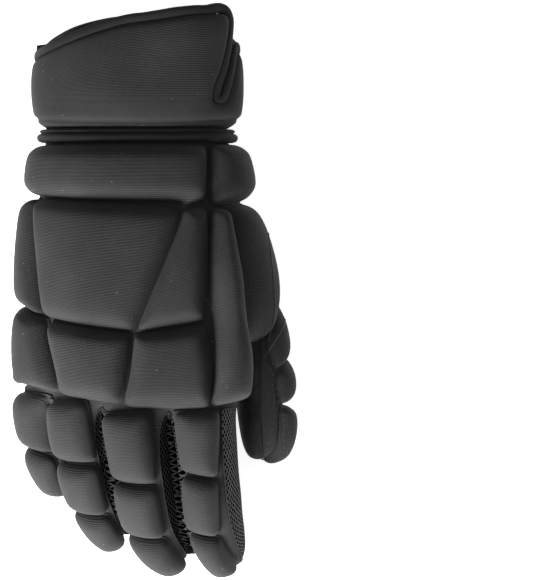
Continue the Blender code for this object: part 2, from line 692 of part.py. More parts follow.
def cuff_point(turn, out, y):
    """Point of the cuff's section, out from its outer face by this much; its underside is flat."""
    angle = math.radians(180 - turn)
    x, z = math.cos(angle), math.sin(angle)
    power = 2 / OVAL_POWER
    centre = SECTIONS[0][1] * PALM_WIDTH
    half = CUFF_WIDTH / 2 + out
    low, high = CUFF_FLOOR - 3 * MM - out, CUFF_TOP + out
    return Vector((
        centre + half * math.copysign(abs(x) ** power, x),
        y,
        max((high + low) / 2 + (high - low) / 2 * math.copysign(abs(z) ** power, z), CUFF_FLOOR - out),
    ))


def cuff_step(turn, distance):
    """The turn this far along the section from another turn."""
    step = 0.5
    length = (cuff_point(turn + step, 0, 0) - cuff_point(turn - step, 0, 0)).length / (2 * step)
    return turn + distance / length


def edge_by_slot(side):
    """Height of the cuff's edge on the thumb side (1) or the back (-1) of the slot."""
    return cuff_edge_y(SLOT_TURN[0] + side * 10)


def slot_turn(y):
    share = min(max((edge_by_slot(-1) - y) / SLOT_DEPTH, 0), 1)
    return SLOT_TURN[0] + (SLOT_TURN[1] - SLOT_TURN[0]) * share**2


def sweep(points, sides, outs, section, name, collection, look):
    """Closed ring of sections; each section point is (along the side vector, along the out vector)."""
    bm = bmesh.new()
    rings = [
        [bm.verts.new(point + side * a + out * b) for a, b in section]
        for point, side, out in zip(points, sides, outs)
    ]
    count = len(section)
    for ring, after in zip(rings, rings[1:] + rings[:1]):
        for n in range(count):
            m = (n + 1) % count
            bm.faces.new((ring[n], ring[m], after[m], after[n]))
    return object_from(bm, name, collection, look)


def round_section(width, height, base):
    """Half-round outline standing on its base."""
    w = width / 2
    return ((-w, base), (-w * 0.9, height * 0.6), (-w * 0.45, height), (w * 0.45, height), (w * 0.9, height * 0.6), (w, base))


def build_roll(guide, base, collection, look, count=26):
    along = -ROLL_LENGTH / 2 / HAND_LENGTH
    landed = [base.land(*guide.ray(RING_COUNT * n / count, along)) for n in range(count)]
    points = [hit for hit, _ in landed]
    outs = [Vector((n.x, 0, n.z)).normalized() for _, n in landed]
    sides = [Vector((0, 1, 0))] * count
    section = round_section(ROLL_LENGTH - 2 * LAYER_GAP, ROLL_HEIGHT, SEAT_GAP * 1.8)
    sweep(points, sides, outs, section, "wrist_roll", collection, look)


def build_cuff(collection, look, columns=30, rows=6):
    """Cuff wall with a slot from its edge, set back from the binding."""
    bm = bmesh.new()
    setback = BINDING_WIDTH + 4 * LAYER_GAP
    slot_half = SLOT_GAP / 2 + setback
    slot_row = 3
    start = cuff_start() + LAYER_GAP
    slot_bottom = edge_by_slot(-1) - SLOT_DEPTH - setback
    lower = [start, start + CUFF_TAPER * 0.15, start + CUFF_TAPER * 0.5, slot_bottom]
    taper = [0.72, 0.36, 0.06, 0, 0, 0, 0, 0]
    edge_turn = slot_turn(slot_bottom)
    left = cuff_step(edge_turn, slot_half)
    right = cuff_step(edge_turn, -slot_half) + 360
    layers, middles = [], []
    for layer in range(2):
        outs = [-CUFF_WALL if layer else -CUFF_WALL * share for share in taper]
        middles.append([bm.verts.new(cuff_point(edge_turn, out, y)) for out, y in zip(outs, lower)])
        grid = []
        for r in range(rows + 1):
            ring = []
            for n in range(columns + 1):
                turn = left + (right - left) * n / columns
                if r <= slot_row:
                    y = lower[r]
                else:
                    share = (r - slot_row) / (rows - slot_row)
                    nudge = 1 if n == 0 else -1 if n == columns else 0
                    near = max(0, 1 - min(n, columns - n) / 4)
                    top_turn = slot_turn(edge_by_slot(1 if n < columns / 2 else -1) - setback)
                    top_turn = turn + (top_turn - edge_turn) * near
                    top = cuff_edge_y(cuff_step(top_turn, nudge * setback)) - setback
                    if n in (0, columns):
                        top -= EDGE_CORNERS[1 if n == 0 else 0] * 0.3
                    y = slot_bottom + (top - slot_bottom) * share
                    turn += (slot_turn(y) - edge_turn) * near
                ring.append(bm.verts.new(cuff_point(turn, outs[r], y)))
            grid.append(ring)
        layers.append(grid)
    outer, inner = layers
    outer_middle, inner_middle = middles
    for r in range(rows):
        for n in range(columns):
            for grid in layers:
                bm.faces.new((grid[r][n], grid[r][n + 1], grid[r + 1][n + 1], grid[r + 1][n]))
        if r < slot_row:
            for grid, middle in zip(layers, middles):
                bm.faces.new((grid[r][columns], middle[r], middle[r + 1], grid[r + 1][columns]))
                bm.faces.new((middle[r], grid[r][0], grid[r + 1][0], middle[r + 1]))
        else:
            for n in (0, columns):
                bm.faces.new((outer[r][n], inner[r][n], inner[r + 1][n], outer[r + 1][n]))
    for n in range(columns):
        for r in (0, rows):
            bm.faces.new((outer[r][n], outer[r][n + 1], inner[r][n + 1], inner[r][n]))
    for r in (0, slot_row):
        bm.faces.new((outer[r][columns], outer_middle[r], inner_middle[r], inner[r][columns]))
        bm.faces.new((outer_middle[r], outer[r][0], inner[r][0], inner_middle[r]))
    object_from(bm, "cuff", collection, look)


def binding_path():
    """(turn, y) along the middle of the binding, once round the edge and the slot."""
    half = BINDING_WIDTH / 2
    slot_half = half + SLOT_GAP / 2
    bottom = edge_by_slot(-1) - SLOT_DEPTH - half
    ends = []
    for side, radius in ((1, EDGE_CORNERS[1]), (-1, EDGE_CORNERS[0])):
        turn_at = cuff_step(slot_turn(edge_by_slot(side) - radius), side * slot_half)
        corner = radius - half
        far = cuff_step(turn_at, side * corner)
        top = cuff_edge_y(far) - half
        points = [(cuff_step(slot_turn(bottom), side * slot_half * 0.7), bottom + slot_half * 0.25)]
        for share in (0.1, 0.4, 0.7, 1):
            y = bottom + slot_half + (top - corner - bottom - slot_half) * share
            points.append((cuff_step(slot_turn(y), side * slot_half), y))
        for angle in (30, 60, 90):
            a = math.radians(angle)
            points.append((
                cuff_step(turn_at, side * corner * (1 - math.cos(a))),
                top - corner * (1 - math.sin(a)),
            ))
        ends.append(points)
    first, last = ends[0][-1][0], ends[1][-1][0] + 360
    count = 30
    middle = []
    for n in range(1, count):
        turn = first + (last - first) * n / count
        middle.append((turn, cuff_edge_y(turn) - half))
    down = [(turn + 360, y) for turn, y in reversed(ends[1])]
    return [(slot_turn(bottom), bottom), *ends[0], *middle, *down]


def build_binding(collection, look):
    path = binding_path()
    points = [cuff_point(turn, -CUFF_WALL / 2, y) for turn, y in path]
    count = len(points)
    outs, sides = [], []
    for n, (turn, y) in enumerate(path):
        out = (cuff_point(turn, 0, y) - cuff_point(turn, -CUFF_WALL, y)).normalized()
        along = (points[(n + 1) % count] - points[n - 1]).normalized()
        outs.append(out)
        sides.append(along.cross(out).normalized())
    w, h = BINDING_WIDTH / 2, BINDING_THICKNESS / 2
    section = ((-w * 0.5, -h * 0.9), (w * 0.5, -h * 0.9), (w, 0), (w * 0.65, h), (-w * 0.65, h), (-w, 0))
    sweep(points, sides, outs, section, "cuff_binding", collection, look)


def build_layer(name, turns, span, lift, thickness, collection, look, columns=12, rows=2):
    """Flat piece lying round the cuff: turns (start, end), span gives (low y, high y) for a turn."""
    bm = bmesh.new()
    layers = []
    for out in (lift, lift + thickness):
        grid = []
        for r in range(rows + 1):
            ring = []
            for n in range(columns + 1):
                turn = turns[0] + (turns[1] - turns[0]) * n / columns
                low, high = span(turn)
                ring.append(bm.verts.new(cuff_point(turn, out, low + (high - low) * r / rows)))
            grid.append(ring)
        layers.append(grid)
    under, over = layers
    for r in range(rows):
        for n in range(columns):
            for grid in layers:
                bm.faces.new((grid[r][n], grid[r][n + 1], grid[r + 1][n + 1], grid[r + 1][n]))
        for n in (0, columns):
            bm.faces.new((under[r][n], under[r + 1][n], over[r + 1][n], over[r][n]))
    for n in range(columns):
        for r in (0, rows):
            bm.faces.new((under[r][n], under[r][n + 1], over[r][n + 1], over[r][n]))
    object_from(bm, name, collection, look)


def build_closure(collection, looks):
    start = cuff_start() + CUFF_TAPER

    def loop_span(turn):
        edge = cuff_edge_y(turn) - BINDING_WIDTH - 2 * MM
        return start, min(start + LOOP_PANEL_LENGTH, edge)

    def strap_span(turn, width=STRAP_WIDTH):
        middle = cuff_start() + CUFF_LENGTH * (0.585 - 0.12 * (turn - 253) / 100)
        return middle - width / 2, middle + width / 2

    def label_span(turn):
        return strap_span(turn, LABEL_WIDTH)

    lift = LAYER_GAP
    build_layer("loop_panel", (201, 348), loop_span, lift, LOOP_PANEL_THICKNESS, collection, looks["loop"], 21)
    lift += LOOP_PANEL_THICKNESS + LAYER_GAP
    build_layer("strap", (250, 336), strap_span, lift, STRAP_THICKNESS, collection, looks["strap"], 13)
    lift += STRAP_THICKNESS + LAYER_GAP
    label_start = cuff_step(250, 7 * MM)
    label_end = label_start
    while (cuff_point(label_end, 0, 0) - cuff_point(label_start, 0, 0)).length < LABEL_LENGTH:
        label_end += 0.25
    build_layer("label", (label_start, label_end), label_span, lift, LABEL_THICKNESS, collection, looks["label"], 6)


def main():
    clear_scene()
    glove = new_collection("ball_hockey_glove")
    guides = new_collection("guides")
    guides.hide_render = True
    knit = material("knit", (0.055, 0.055, 0.058), 0.8)
    suede = material("suede", (0.03, 0.03, 0.032), 0.95)
    mesh = material("mesh", (0.05, 0.05, 0.052), 0.85)
    looks = dict(zip(PANELS, (knit, suede, suede, mesh, mesh, mesh, mesh)))
    fingers = [Finger(row) for row in FINGERS]
    cage = build_cage(fingers, guides)
    build_panels(cage, glove, looks)
    guides_by_name = {"hand": HandGuide(fingers), "thumb": ThumbGuide()}
    guides_by_name.update({finger.name: FingerGuide(finger) for finger in fingers})
    base = Base(cage)
    for row in PADS:
        build_pad(row, guides_by_name, base, glove, knit, 6 if row[0] in BIG_PADS else 5)
    build_roll(guides_by_name["hand"], base, glove, material("roll", (0.02, 0.02, 0.02), 0.8))
    build_cuff(glove, material("neoprene", (0.05, 0.05, 0.052), 0.7))
    build_binding(glove, material("binding", (0.03, 0.03, 0.032), 0.75))
    closure = {
        "loop": material("loop_pile", (0.025, 0.025, 0.026), 0.95),
        "strap": material("strap_web", (0.04, 0.04, 0.041), 0.8),
        "label": material("label_face", (0.02, 0.02, 0.02), 0.6),
    }
    build_closure(glove, closure)


main()
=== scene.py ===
# Right-hand ball hockey glove in black knit, lying palm down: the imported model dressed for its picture.
# Fingers point to -Y, the thumb to +X, and the back of the hand is up.
import json
import math

import bmesh
import bpy
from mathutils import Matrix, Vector, noise
from mathutils.bvhtree import BVHTree
from mathutils.kdtree import KDTree

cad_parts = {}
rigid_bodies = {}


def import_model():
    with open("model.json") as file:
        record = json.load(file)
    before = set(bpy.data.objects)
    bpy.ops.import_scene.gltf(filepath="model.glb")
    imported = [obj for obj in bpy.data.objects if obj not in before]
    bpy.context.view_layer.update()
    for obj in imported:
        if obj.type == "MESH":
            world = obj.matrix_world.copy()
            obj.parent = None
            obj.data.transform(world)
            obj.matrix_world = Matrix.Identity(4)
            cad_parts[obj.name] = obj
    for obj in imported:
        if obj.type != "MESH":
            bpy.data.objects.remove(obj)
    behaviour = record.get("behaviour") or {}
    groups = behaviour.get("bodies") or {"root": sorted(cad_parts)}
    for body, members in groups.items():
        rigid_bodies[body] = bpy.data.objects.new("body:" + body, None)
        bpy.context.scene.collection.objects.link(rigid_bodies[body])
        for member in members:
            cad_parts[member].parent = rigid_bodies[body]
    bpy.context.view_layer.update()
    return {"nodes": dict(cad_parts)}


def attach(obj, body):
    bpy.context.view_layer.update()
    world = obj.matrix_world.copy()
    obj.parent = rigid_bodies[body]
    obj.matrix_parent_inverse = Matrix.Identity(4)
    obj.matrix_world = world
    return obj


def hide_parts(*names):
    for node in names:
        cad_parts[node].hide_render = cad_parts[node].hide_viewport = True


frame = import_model()
mm = 0.001
print("frame: %d solids" % len(frame["nodes"]))


def placed(name, data):
    thing = bpy.data.objects.new(name, data)
    bpy.context.scene.collection.objects.link(thing)
    return thing


def finished(thing):
    # the thing's mesh with its modifiers applied
    graph = bpy.context.evaluated_depsgraph_get()
    return bpy.data.meshes.new_from_object(thing.evaluated_get(graph))


def meshOf(bm, name):
    mesh = bpy.data.meshes.new(name)
    bm.to_mesh(mesh)
    return mesh


def pour(mesh, bm):
    # adds a spare mesh to the bmesh
    bm.from_mesh(mesh)
    bpy.data.meshes.remove(mesh)
    return bm


def closedUp(bm):
    # one skin with its faces outward
    bmesh.ops.remove_doubles(bm, verts=bm.verts, dist=0.01 * mm)
    bmesh.ops.recalc_face_normals(bm, faces=bm.faces)
    return bm


def treeOf(spots):
    tree = KDTree(len(spots))
    for n, spot in enumerate(spots):
        tree.insert(spot, n)
    tree.balance()
    return tree


def lineLength(line):
    return sum((b - a).length for a, b in zip(line, line[1:]))


def bend(a, b, c, d, t):
    # the smooth curve from b to c, with a before it and d after it
    return (b * 2 + (c - a) * t + (a * 2 - b * 5 + c * 4 - d) * t * t + (b * 3 - a - c * 3 + d) * t**3) / 2


# Materials
class Wire:
    # one shader socket that plain sums can use
    def __init__(self, paint, socket):
        self.paint = paint
        self.socket = socket

    def sum(self, operation, first, second=0.0):
        return self.paint.node("ShaderNodeMath", {"operation": operation}, {0: first, 1: second})

    __add__ = lambda self, other: self.sum("ADD", self, other)
    __radd__ = lambda self, other: self.sum("ADD", other, self)
    __sub__ = lambda self, other: self.sum("SUBTRACT", self, other)
    __rsub__ = lambda self, other: self.sum("SUBTRACT", other, self)
    __mul__ = lambda self, other: self.sum("MULTIPLY", self, other)
    __rmul__ = lambda self, other: self.sum("MULTIPLY", other, self)
    __truediv__ = lambda self, other: self.sum("DIVIDE", self, other)
    __pow__ = lambda self, other: self.sum("POWER", self, other)
    __gt__ = lambda self, other: self.sum("GREATER_THAN", self, other)
    __lt__ = lambda self, other: self.sum("LESS_THAN", self, other)
    sine = lambda self: self.sum("SINE", self)
    size = lambda self: self.sum("ABSOLUTE", self)
    fraction = lambda self: self.sum("FRACT", self)
    least = lambda self, other: self.sum("MINIMUM", self, other)
    most = lambda self, other: self.sum("MAXIMUM", self, other)

    def between(self, low, high):
        # 0 below low, 1 above high, smooth in between
        settings = {"interpolation_type": "SMOOTHSTEP", "clamp": True}
        return self.paint.node("ShaderNodeMapRange", settings, {0: self, 1: low, 2: high, 3: 0.0, 4: 1.0})


class Paint:
    # a cloth's material and the nodes that are added to it
    def __init__(self, name, roughness, sheen=0.0, gloss=0.2):
        self.material = bpy.data.materials.new(name)
        self.material.use_nodes = True
        self.tree = self.material.node_tree
        self.shader = self.tree.nodes["Principled BSDF"]
        fixed = {"Roughness": roughness, "Sheen Weight": sheen, "Sheen Roughness": 0.45}
        fixed["Specular IOR Level"] = gloss
        for socket, value in fixed.items():
            self.shader.inputs[socket].default_value = value

    def node(self, kind, settings=None, inputs=None, output=0):
        made = self.tree.nodes.new(kind)
        for key, value in (settings or {}).items():
            setattr(made, key, value)
        for key, value in (inputs or {}).items():
            if isinstance(value, Wire):
                self.tree.links.new(value.socket, made.inputs[key])
            else:
                made.inputs[key].default_value = value
        return Wire(self, made.outputs[output])

    def weave(self):
        # (across, along) the cloth in metres, from the piece's own UV map
        uv = self.node("ShaderNodeUVMap", {"uv_map": "weave"})
        return [self.node("ShaderNodeSeparateXYZ", None, {0: uv}, n) for n in (0, 1)]

    def place(self):
        return self.node("ShaderNodeTexCoord", None, None, "Object")

    def cloud(self, scale, detail=3.0):
        inputs = {"Vector": self.place(), "Scale": scale, "Detail": detail}
        return self.node("ShaderNodeTexNoise", None, inputs, 0)

    def ribs(self, run, width, shift=0.0):
        # soft ridges this far apart along the run, from 0 to 1
        return (run * (2 * math.pi / width) + shift).sine() * 0.5 + 0.5

    def lint(self, scale, share):
        # tiny specks: the middles of a few random cells
        inputs = {"Vector": self.place(), "Scale": scale}
        near = self.node("ShaderNodeTexVoronoi", None, inputs, "Distance")
        cell = self.node("ShaderNodeTexVoronoi", None, inputs, "Color")
        pick = self.node("ShaderNodeSeparateColor", None, {0: cell}, 0)
        return (near < 0.11) * (pick < share)

    def tint(self, mask, first, second):
        inputs = {0: mask, 6: (*first, 1) if isinstance(first, tuple) else first, 7: (*second, 1)}
        return self.node("ShaderNodeMix", {"data_type": "RGBA"}, inputs, 2)

    def finish(self, colour, height, distance, strength):
        self.tree.links.new(colour.socket, self.shader.inputs["Base Color"])
        inputs = {"Height": height, "Distance": distance, "Strength": strength}
        bump = self.node("ShaderNodeBump", None, inputs)
        self.tree.links.new(bump.socket, self.shader.inputs["Normal"])
        return self.material


def grey(level):
    return (level, level, level * 1.03)


knit = {
    "rib": 0.72 * mm, "stitch": 0.55 * mm, "dark": grey(0.016), "light": grey(0.066), "lint": grey(0.34),
    "ribs": 0.32, "thinRibs": 0.24, "bump": 0.17 * mm,
}


def paintKnit(name, settings, ribs):
    paint = Paint(name, 0.86, 0.05)
    across, along = paint.weave()
    rib = paint.ribs(along, settings["rib"], (paint.cloud(130.0, 2.0) - 0.5) * 1.2)
    loops = paint.ribs(across, settings["stitch"], paint.cloud(900.0, 1.0) * 14.0)
    fuzz = paint.cloud(2600.0, 2.0)
    broad = paint.cloud(38.0, 3.0)
    tone = rib * ribs * (loops * 0.5 + 0.6) + fuzz * 0.30 + broad * 0.34
    colour = paint.tint(tone.between(0.15, 0.95), settings["dark"], settings["light"])
    specks = paint.lint(420.0, 0.06) * (fuzz > 0.5)
    colour = paint.tint(specks * 0.8, colour, settings["lint"])
    return paint.finish(colour, rib * (loops * 0.4 + 0.6) + fuzz * 0.5, settings["bump"], 0.85)


net = {
    "pitch": 2.3 * mm, "stretch": 1.4, "thread": grey(0.26), "hole": grey(0.006), "dark": grey(0.09),
    "outer": 27 * mm, "shade": 0.72,  # right of outer the mesh keeps its light colour; left of it, in the gaps between the fingers, it is darkened this much towards black as painted shade
}


def paintMesh(name, settings):
    paint = Paint(name, 0.95, gloss=0.0)
    across, along = paint.weave()
    wobble = (paint.cloud(700.0, 1.0) - 0.5) * 0.22
    across, along = across / settings["pitch"], along / (settings["pitch"] * settings["stretch"])
    left, right = (across + along + wobble).fraction(), (across - along + wobble).fraction()
    edge = ((left - 0.5).size()).most((right - 0.5).size())
    thread = edge.between(0.32, 0.40)
    side = paint.node("ShaderNodeSeparateXYZ", None, {0: paint.place()}, 0) > settings["outer"]
    fibre = paint.cloud(3200.0, 2.0)
    body = paint.tint(fibre.between(0.3, 0.8), settings["dark"], settings["thread"])
    # painted shade: mesh left of outer, in the shaded gaps between the fingers, is mixed towards black
    body = paint.tint((1.0 - side) * settings["shade"], body, (0.0, 0.0, 0.0))
    colour = paint.tint(thread, settings["hole"], (1.0, 1.0, 1.0))
    inputs = {0: 1.0, 6: colour, 7: body}
    colour = paint.node("ShaderNodeMix", {"data_type": "RGBA", "blend_type": "MULTIPLY"}, inputs, 2)
    crown = (1.0 - ((edge - 0.5).size() * 2.6).least(1.0)) * 0.5
    return paint.finish(colour, thread + crown + fibre * 0.15, 0.5 * mm, 0.9)


suede = {"dark": grey(0.012), "light": grey(0.046), "dot": grey(0.004), "spread": 12 * mm, "size": 0.42 * mm}


def paintSuede(name, settings, dots=True):
    paint = Paint(name, 0.95, 0.08)
    across, along = paint.weave()
    nap = paint.cloud(60.0, 5.0)
    fine = paint.cloud(1700.0, 3.0)
    scuff = paint.cloud(210.0, 4.0)
    tone = nap * 0.55 + scuff * 0.35 + fine * 0.25
    colour = paint.tint(tone.between(0.38, 0.85), settings["dark"], settings["light"])
    height = fine * 0.5 + scuff * 0.4
    if dots:
        # a few punched air holes in rows
        side = ((across / settings["spread"]).fraction() - 0.5) * settings["spread"]
        front = ((along / settings["spread"]).fraction() - 0.5) * settings["spread"]
        hole = 1.0 - ((side * side + front * front) ** 0.5).between(settings["size"], settings["size"] * 1.5)
        colour = paint.tint(hole, colour, settings["dot"])
        height = height - hole * 3.0
    specks = paint.lint(420.0, 0.03)
    colour = paint.tint(specks * 0.5, colour, knit["lint"])
    return paint.finish(colour, height, 0.12 * mm, 0.7)


def paintTape(name, rib, dark, light):
    # woven tape with ribs across it
    paint = Paint(name, 0.82, 0.05)
    across, along = paint.weave()
    rib = paint.ribs(along, rib, across * 4200.0)
    fuzz = paint.cloud(2400.0, 2.0)
    tone = rib * 0.5 + fuzz * 0.5
    colour = paint.tint(tone.between(0.2, 0.9), dark, light)
    return paint.finish(colour, rib * 0.7 + fuzz * 0.4, 0.16 * mm, 0.7)


def paintPile(name, dark, light):
    # soft loops of the hook-and-loop panel
    paint = Paint(name, 0.98, 0.1)
    inputs = {"Vector": paint.place(), "Scale": 1300.0}
    curls = paint.node("ShaderNodeTexVoronoi", {"feature": "SMOOTH_F1"}, inputs)
    clump = paint.cloud(240.0, 4.0)
    tone = curls * 0.5 + clump * 0.6
    colour = paint.tint(tone.between(0.3, 0.8), dark, light)
    specks = paint.lint(500.0, 0.05)
    colour = paint.tint(specks * 0.6, colour, knit["lint"])
    return paint.finish(colour, curls * 0.8 + clump * 1.2, 0.5 * mm, 0.9)


def paintThread(name, dark, light, scale=4000.0):
    paint = Paint(name, 0.7, 0.03)
    cloud = paint.cloud(scale)
    colour = paint.tint(cloud.between(0.3, 0.75), dark, light)
    return paint.finish(colour, cloud, 0.03 * mm, 0.6)


labelFace = {
    "size": (45 * mm, 22 * mm), "patch": 9 * mm, "end": 2.6 * mm, "side": 3.2 * mm,
    "dark": grey(0.010), "light": grey(0.018), "pale": grey(0.16),
}


def paintLabel(name, settings):
    # dark woven face with a plain pale patch at one end
    paint = Paint(name, 0.55)
    across, along = paint.weave()
    turns = 2 * math.pi / (0.35 * mm)
    threads = (along * turns).sine() * (across * turns).sine() * 0.5 + 0.5
    cloud = paint.cloud(900.0, 3.0)
    colour = paint.tint((threads * 0.6 + cloud * 0.4).between(0.2, 0.8), settings["dark"], settings["light"])
    long, wide = settings["size"]
    inside = (along > long - settings["patch"]) * (along < long - settings["end"])
    inside = inside * (across > settings["side"]) * (across < wide - settings["side"])
    colour = paint.tint(inside * 0.8, colour, settings["pale"])
    return paint.finish(colour, threads + cloud * 0.4, 0.05 * mm, 0.6)


looks = {
    "knit": paintKnit("knit", knit, knit["ribs"]),
    "neoprene": paintKnit("neoprene", knit, knit["thinRibs"]),
    "mesh": paintMesh("mesh", net),
    "suede": paintSuede("suede", suede),
    "thumbSuede": paintSuede("thumb_suede", suede, False),
    "binding": paintTape("binding", 0.7 * mm, grey(0.009), grey(0.030)),
    "roll": paintTape("roll", 0.6 * mm, grey(0.014), grey(0.026)),
    "pile": paintPile("loop_pile", grey(0.010), grey(0.050)),
    "strap": paintTape("strap_web", 0.8 * mm, grey(0.018), grey(0.050)),
    "label": paintLabel("label_face", labelFace),
    "thread": paintThread("thread", grey(0.010), grey(0.030)),
    "piping": paintThread("piping", grey(0.070), grey(0.120), 3000.0),
    "seamThread": paintThread("seam_thread", grey(0.035), grey(0.06)),
    "paleThread": paintThread("pale_thread", grey(0.09), grey(0.16)),
}
print("materials: %d" % len(looks))

# The hand, with the same sizes as its solids
hand = {
    "length": 126 * mm, "wristY": 72 * mm, "palmWidth": 111 * mm, "height": 62 * mm, "tail": 18 * mm,
    "topLines": 9, "ovalPower": 2.7, "seam": 0.35 * mm, "levels": 4,
    "walls": {"back_shell": 1.4 * mm, "palm": 1.3 * mm, "thumb_palm": 1.3 * mm, "mesh": 1.2 * mm},
}
ringCount = 2 + 2 * hand["topLines"]
rightSide = hand["topLines"] + 1
# along, centre, half, bottom, top, arch: shares of the hand's length, width and height
handSections = (
    (0.00, -0.068, 0.392, 0.165, 0.820, 0.00),
    (0.21, -0.060, 0.440, 0.165, 0.880, 0.15),
    (0.46, -0.055, 0.462, 0.190, 0.945, 0.50),
    (0.71, -0.056, 0.480, 0.225, 0.965, 0.85),
    (0.88, -0.070, 0.470, 0.240, 0.955, 0.97),
)
# length and width; root x, reach and z as shares; lean of its back; each bone's degrees down and sideways
fingerRows = {
    "pinky": (55 * mm, 21 * mm, -0.472, 0.918, 0.345, 36, (7, 20, 34), (8, 14, 22)),
    "ring": (82.5 * mm, 25 * mm, -0.318, 0.965, 0.650, 20, (12, 30, 54), (10, 13, 26)),
    "middle": (92.5 * mm, 29.5 * mm, -0.062, 1.000, 0.735, 12, (12, 30, 57), (8, 9, 32)),
    "index": (91.5 * mm, 29.5 * mm, 0.226, 1.000, 0.705, 9, (11, 29, 54), (3.5, 7, 24)),
}
fingerShape = {"depth": 0.9, "corner": 0.9, "back": (0.66, 0.95), "bones": (0.36, 0.35, 0.29)}
fingerShape["loops"] = ((0.20, 1.0), (0.42, 1.0), (0.63, 0.98), (0.82, 0.92), (0.96, 0.68))
thumb = {
    "length": 66 * mm, "width": 25 * mm, "rings": (2, 3, 4), "lines": (10, 11, 12),
    "tip": (0.475, 0.98, 0.284), "root": ((0.250, -1.05, 0.400), (0.350, -0.55, 0.350)),
    # out, along, z, size, twist, squareness
    "loops": (
        (0.418, 0.04, 0.300, 0.96, 35, 0.76),
        (0.440, 0.28, 0.300, 0.96, 14, 0.84),
        (0.459, 0.54, 0.300, 0.92, 0, 0.88),
        (0.468, 0.76, 0.296, 0.84, 0, 0.88),
        (0.473, 0.92, 0.288, 0.62, 0, 0.88),
    ),
}
panels = ("back_shell", "palm", "thumb_palm", "mesh_pinky", "mesh_ring", "mesh_middle", "mesh_index")


def smoothValue(xs, ys, x):
    # smooth curve through the points, held at both ends
    if x <= xs[0]:
        return ys[0]
    if x >= xs[-1]:
        return ys[-1]
    i = max(k for k in range(len(xs) - 1) if xs[k] <= x)
    slopes = []
    for k in (i, i + 1):
        low, high = max(k - 1, 0), min(k + 1, len(xs) - 1)
        slopes.append((ys[high] - ys[low]) / (xs[high] - xs[low]))
    span = xs[i + 1] - xs[i]
    t = (x - xs[i]) / span
    start = (1 + 2 * t) * (1 - t) ** 2 * ys[i] + t * (1 - t) ** 2 * span * slopes[0]
    return start + t * t * (3 - 2 * t) * ys[i + 1] - t * t * (1 - t) * span * slopes[1]


def smoothPoint(xs, points, x):
    return Vector([smoothValue(xs, [p[c] for p in points], x) for c in range(3)])


def handY(along):
    return hand["wristY"] - along * hand["length"]


class Finger:
    # a finger's middle line and the axes of its sections
    def __init__(self, name):
        self.name = name
        self.length, self.width, x, reach, z, lean, pitches, yaws = fingerRows[name]
        self.lean = math.radians(lean)
        point = Vector((x * hand["palmWidth"], handY(reach), z * hand["height"]))
        self.knots, self.marks = [point], [0]
        for share, pitch, yaw in zip(fingerShape["bones"], pitches, yaws):
            down, turn = math.radians(pitch), math.radians(yaw)
            ahead = math.cos(down)
            step = Vector((math.sin(turn) * ahead, -math.cos(turn) * ahead, -math.sin(down)))
            point = point + step * share * self.length
            self.knots.append(point)
            self.marks.append(self.marks[-1] + share)
        self.marks[-1] = 1

    def centre(self, along):
        if along < 0:
            return self.knots[0] + Vector((0, -1, 0)) * along * self.length
        inside = min(along, 1)
        return smoothPoint(self.marks, self.knots, inside) + self.heading(1) * (along - inside) * self.length

    def heading(self, along):
        if along <= 0:
            return Vector((0, -1, 0))
        low, high = max(min(along, 1) - 0.04, 0), min(along + 0.04, 1)
        ends = [smoothPoint(self.marks, self.knots, t) for t in (low, high)]
        return (ends[1] - ends[0]).normalized()

    def axes(self, along):
        # across the finger towards the thumb, and out of its back
        forward = self.heading(along)
        side = forward.cross(Vector((0, 0, 1))).normalized() * -1
        up = side.cross(forward).normalized()
        if up.z < 0:
            up.negate()
        turned = math.cos(self.lean), math.sin(self.lean)
        return side * turned[0] + up * turned[1], up * turned[0] - side * turned[1]

    def loop(self, along, size):
        centre = self.centre(along)
        side, back = self.axes(along)
        wide = self.width / 2 * size
        deep = wide * fingerShape["depth"]
        c = fingerShape["corner"]
        x, z = fingerShape["back"]
        around = ((-x, z), (0, 1), (x, z), (1, 0), (c, -c), (0, -1), (-c, -c), (-1, 0))
        return [centre + side * wide * x + back * deep * z for x, z in around]

    def ray(self, turn, along):
        side, back = self.axes(along)
        angle = math.radians(90 * turn)
        outward = side * math.sin(angle) + back * math.cos(angle)
        return self.centre(along) + outward * self.width, -outward


def knuckleRing(fingers):
    # the finger roots as one ring, with neighbours sharing their meeting points
    loops = [finger.loop(0, 1) for finger in fingers]
    for left, right in zip(loops, loops[1:]):
        for a, b in ((2, 0), (3, 7), (4, 6)):
            shared = (left[a] + right[b]) / 2
            left[a] = shared
            right[b] = shared
    top, bottom = [loops[0][0]], [loops[0][6]]
    for loop in loops:
        top += [loop[1], loop[2]]
        bottom += [loop[5], loop[4]]
    return [loops[0][7], *top, loops[-1][3], *reversed(bottom)], [loop[3] for loop in loops[:-1]]


def ovalPoint(angle, centre, half, bottom, top):
    x, z = math.cos(angle), math.sin(angle)
    power = 2 / hand["ovalPower"]
    wide = centre + half * math.copysign(abs(x) ** power, x)
    return wide, (top + bottom) / 2 + (top - bottom) / 2 * math.copysign(abs(z) ** power, z)


def handRing(row, tail, knuckles):
    # one ring of the hand: an oval at the wrist that turns into the row of knuckles
    along, centre, half, bottom, top, arch = row
    centre, half = centre * hand["palmWidth"], half * hand["palmWidth"]
    bottom, top = bottom * hand["height"], top * hand["height"]
    xs, zs = [p.x for p in knuckles], [p.z for p in knuckles]
    ring = []
    for k, knuckle in enumerate(knuckles):
        x, z = ovalPoint(math.pi * (1 - k / rightSide), centre, half, bottom, top)
        archedX = centre + half * (knuckle.x - (max(xs) + min(xs)) / 2) / ((max(xs) - min(xs)) / 2)
        share = (knuckle.z - (max(zs) + min(zs)) / 2) / ((max(zs) - min(zs)) / 2)
        archedZ = (top + bottom) / 2 + (top - bottom) / 2 * share
        ring.append(Vector((x + (archedX - x) * arch, handY(along) + tail, z + (archedZ - z) * arch)))
    return ring


def thumbCentre(out, along, z):
    crotch = handY(handSections[thumb["rings"][-1] - 1][0])
    return Vector((out * hand["palmWidth"], crotch - along * thumb["length"], z * hand["height"]))


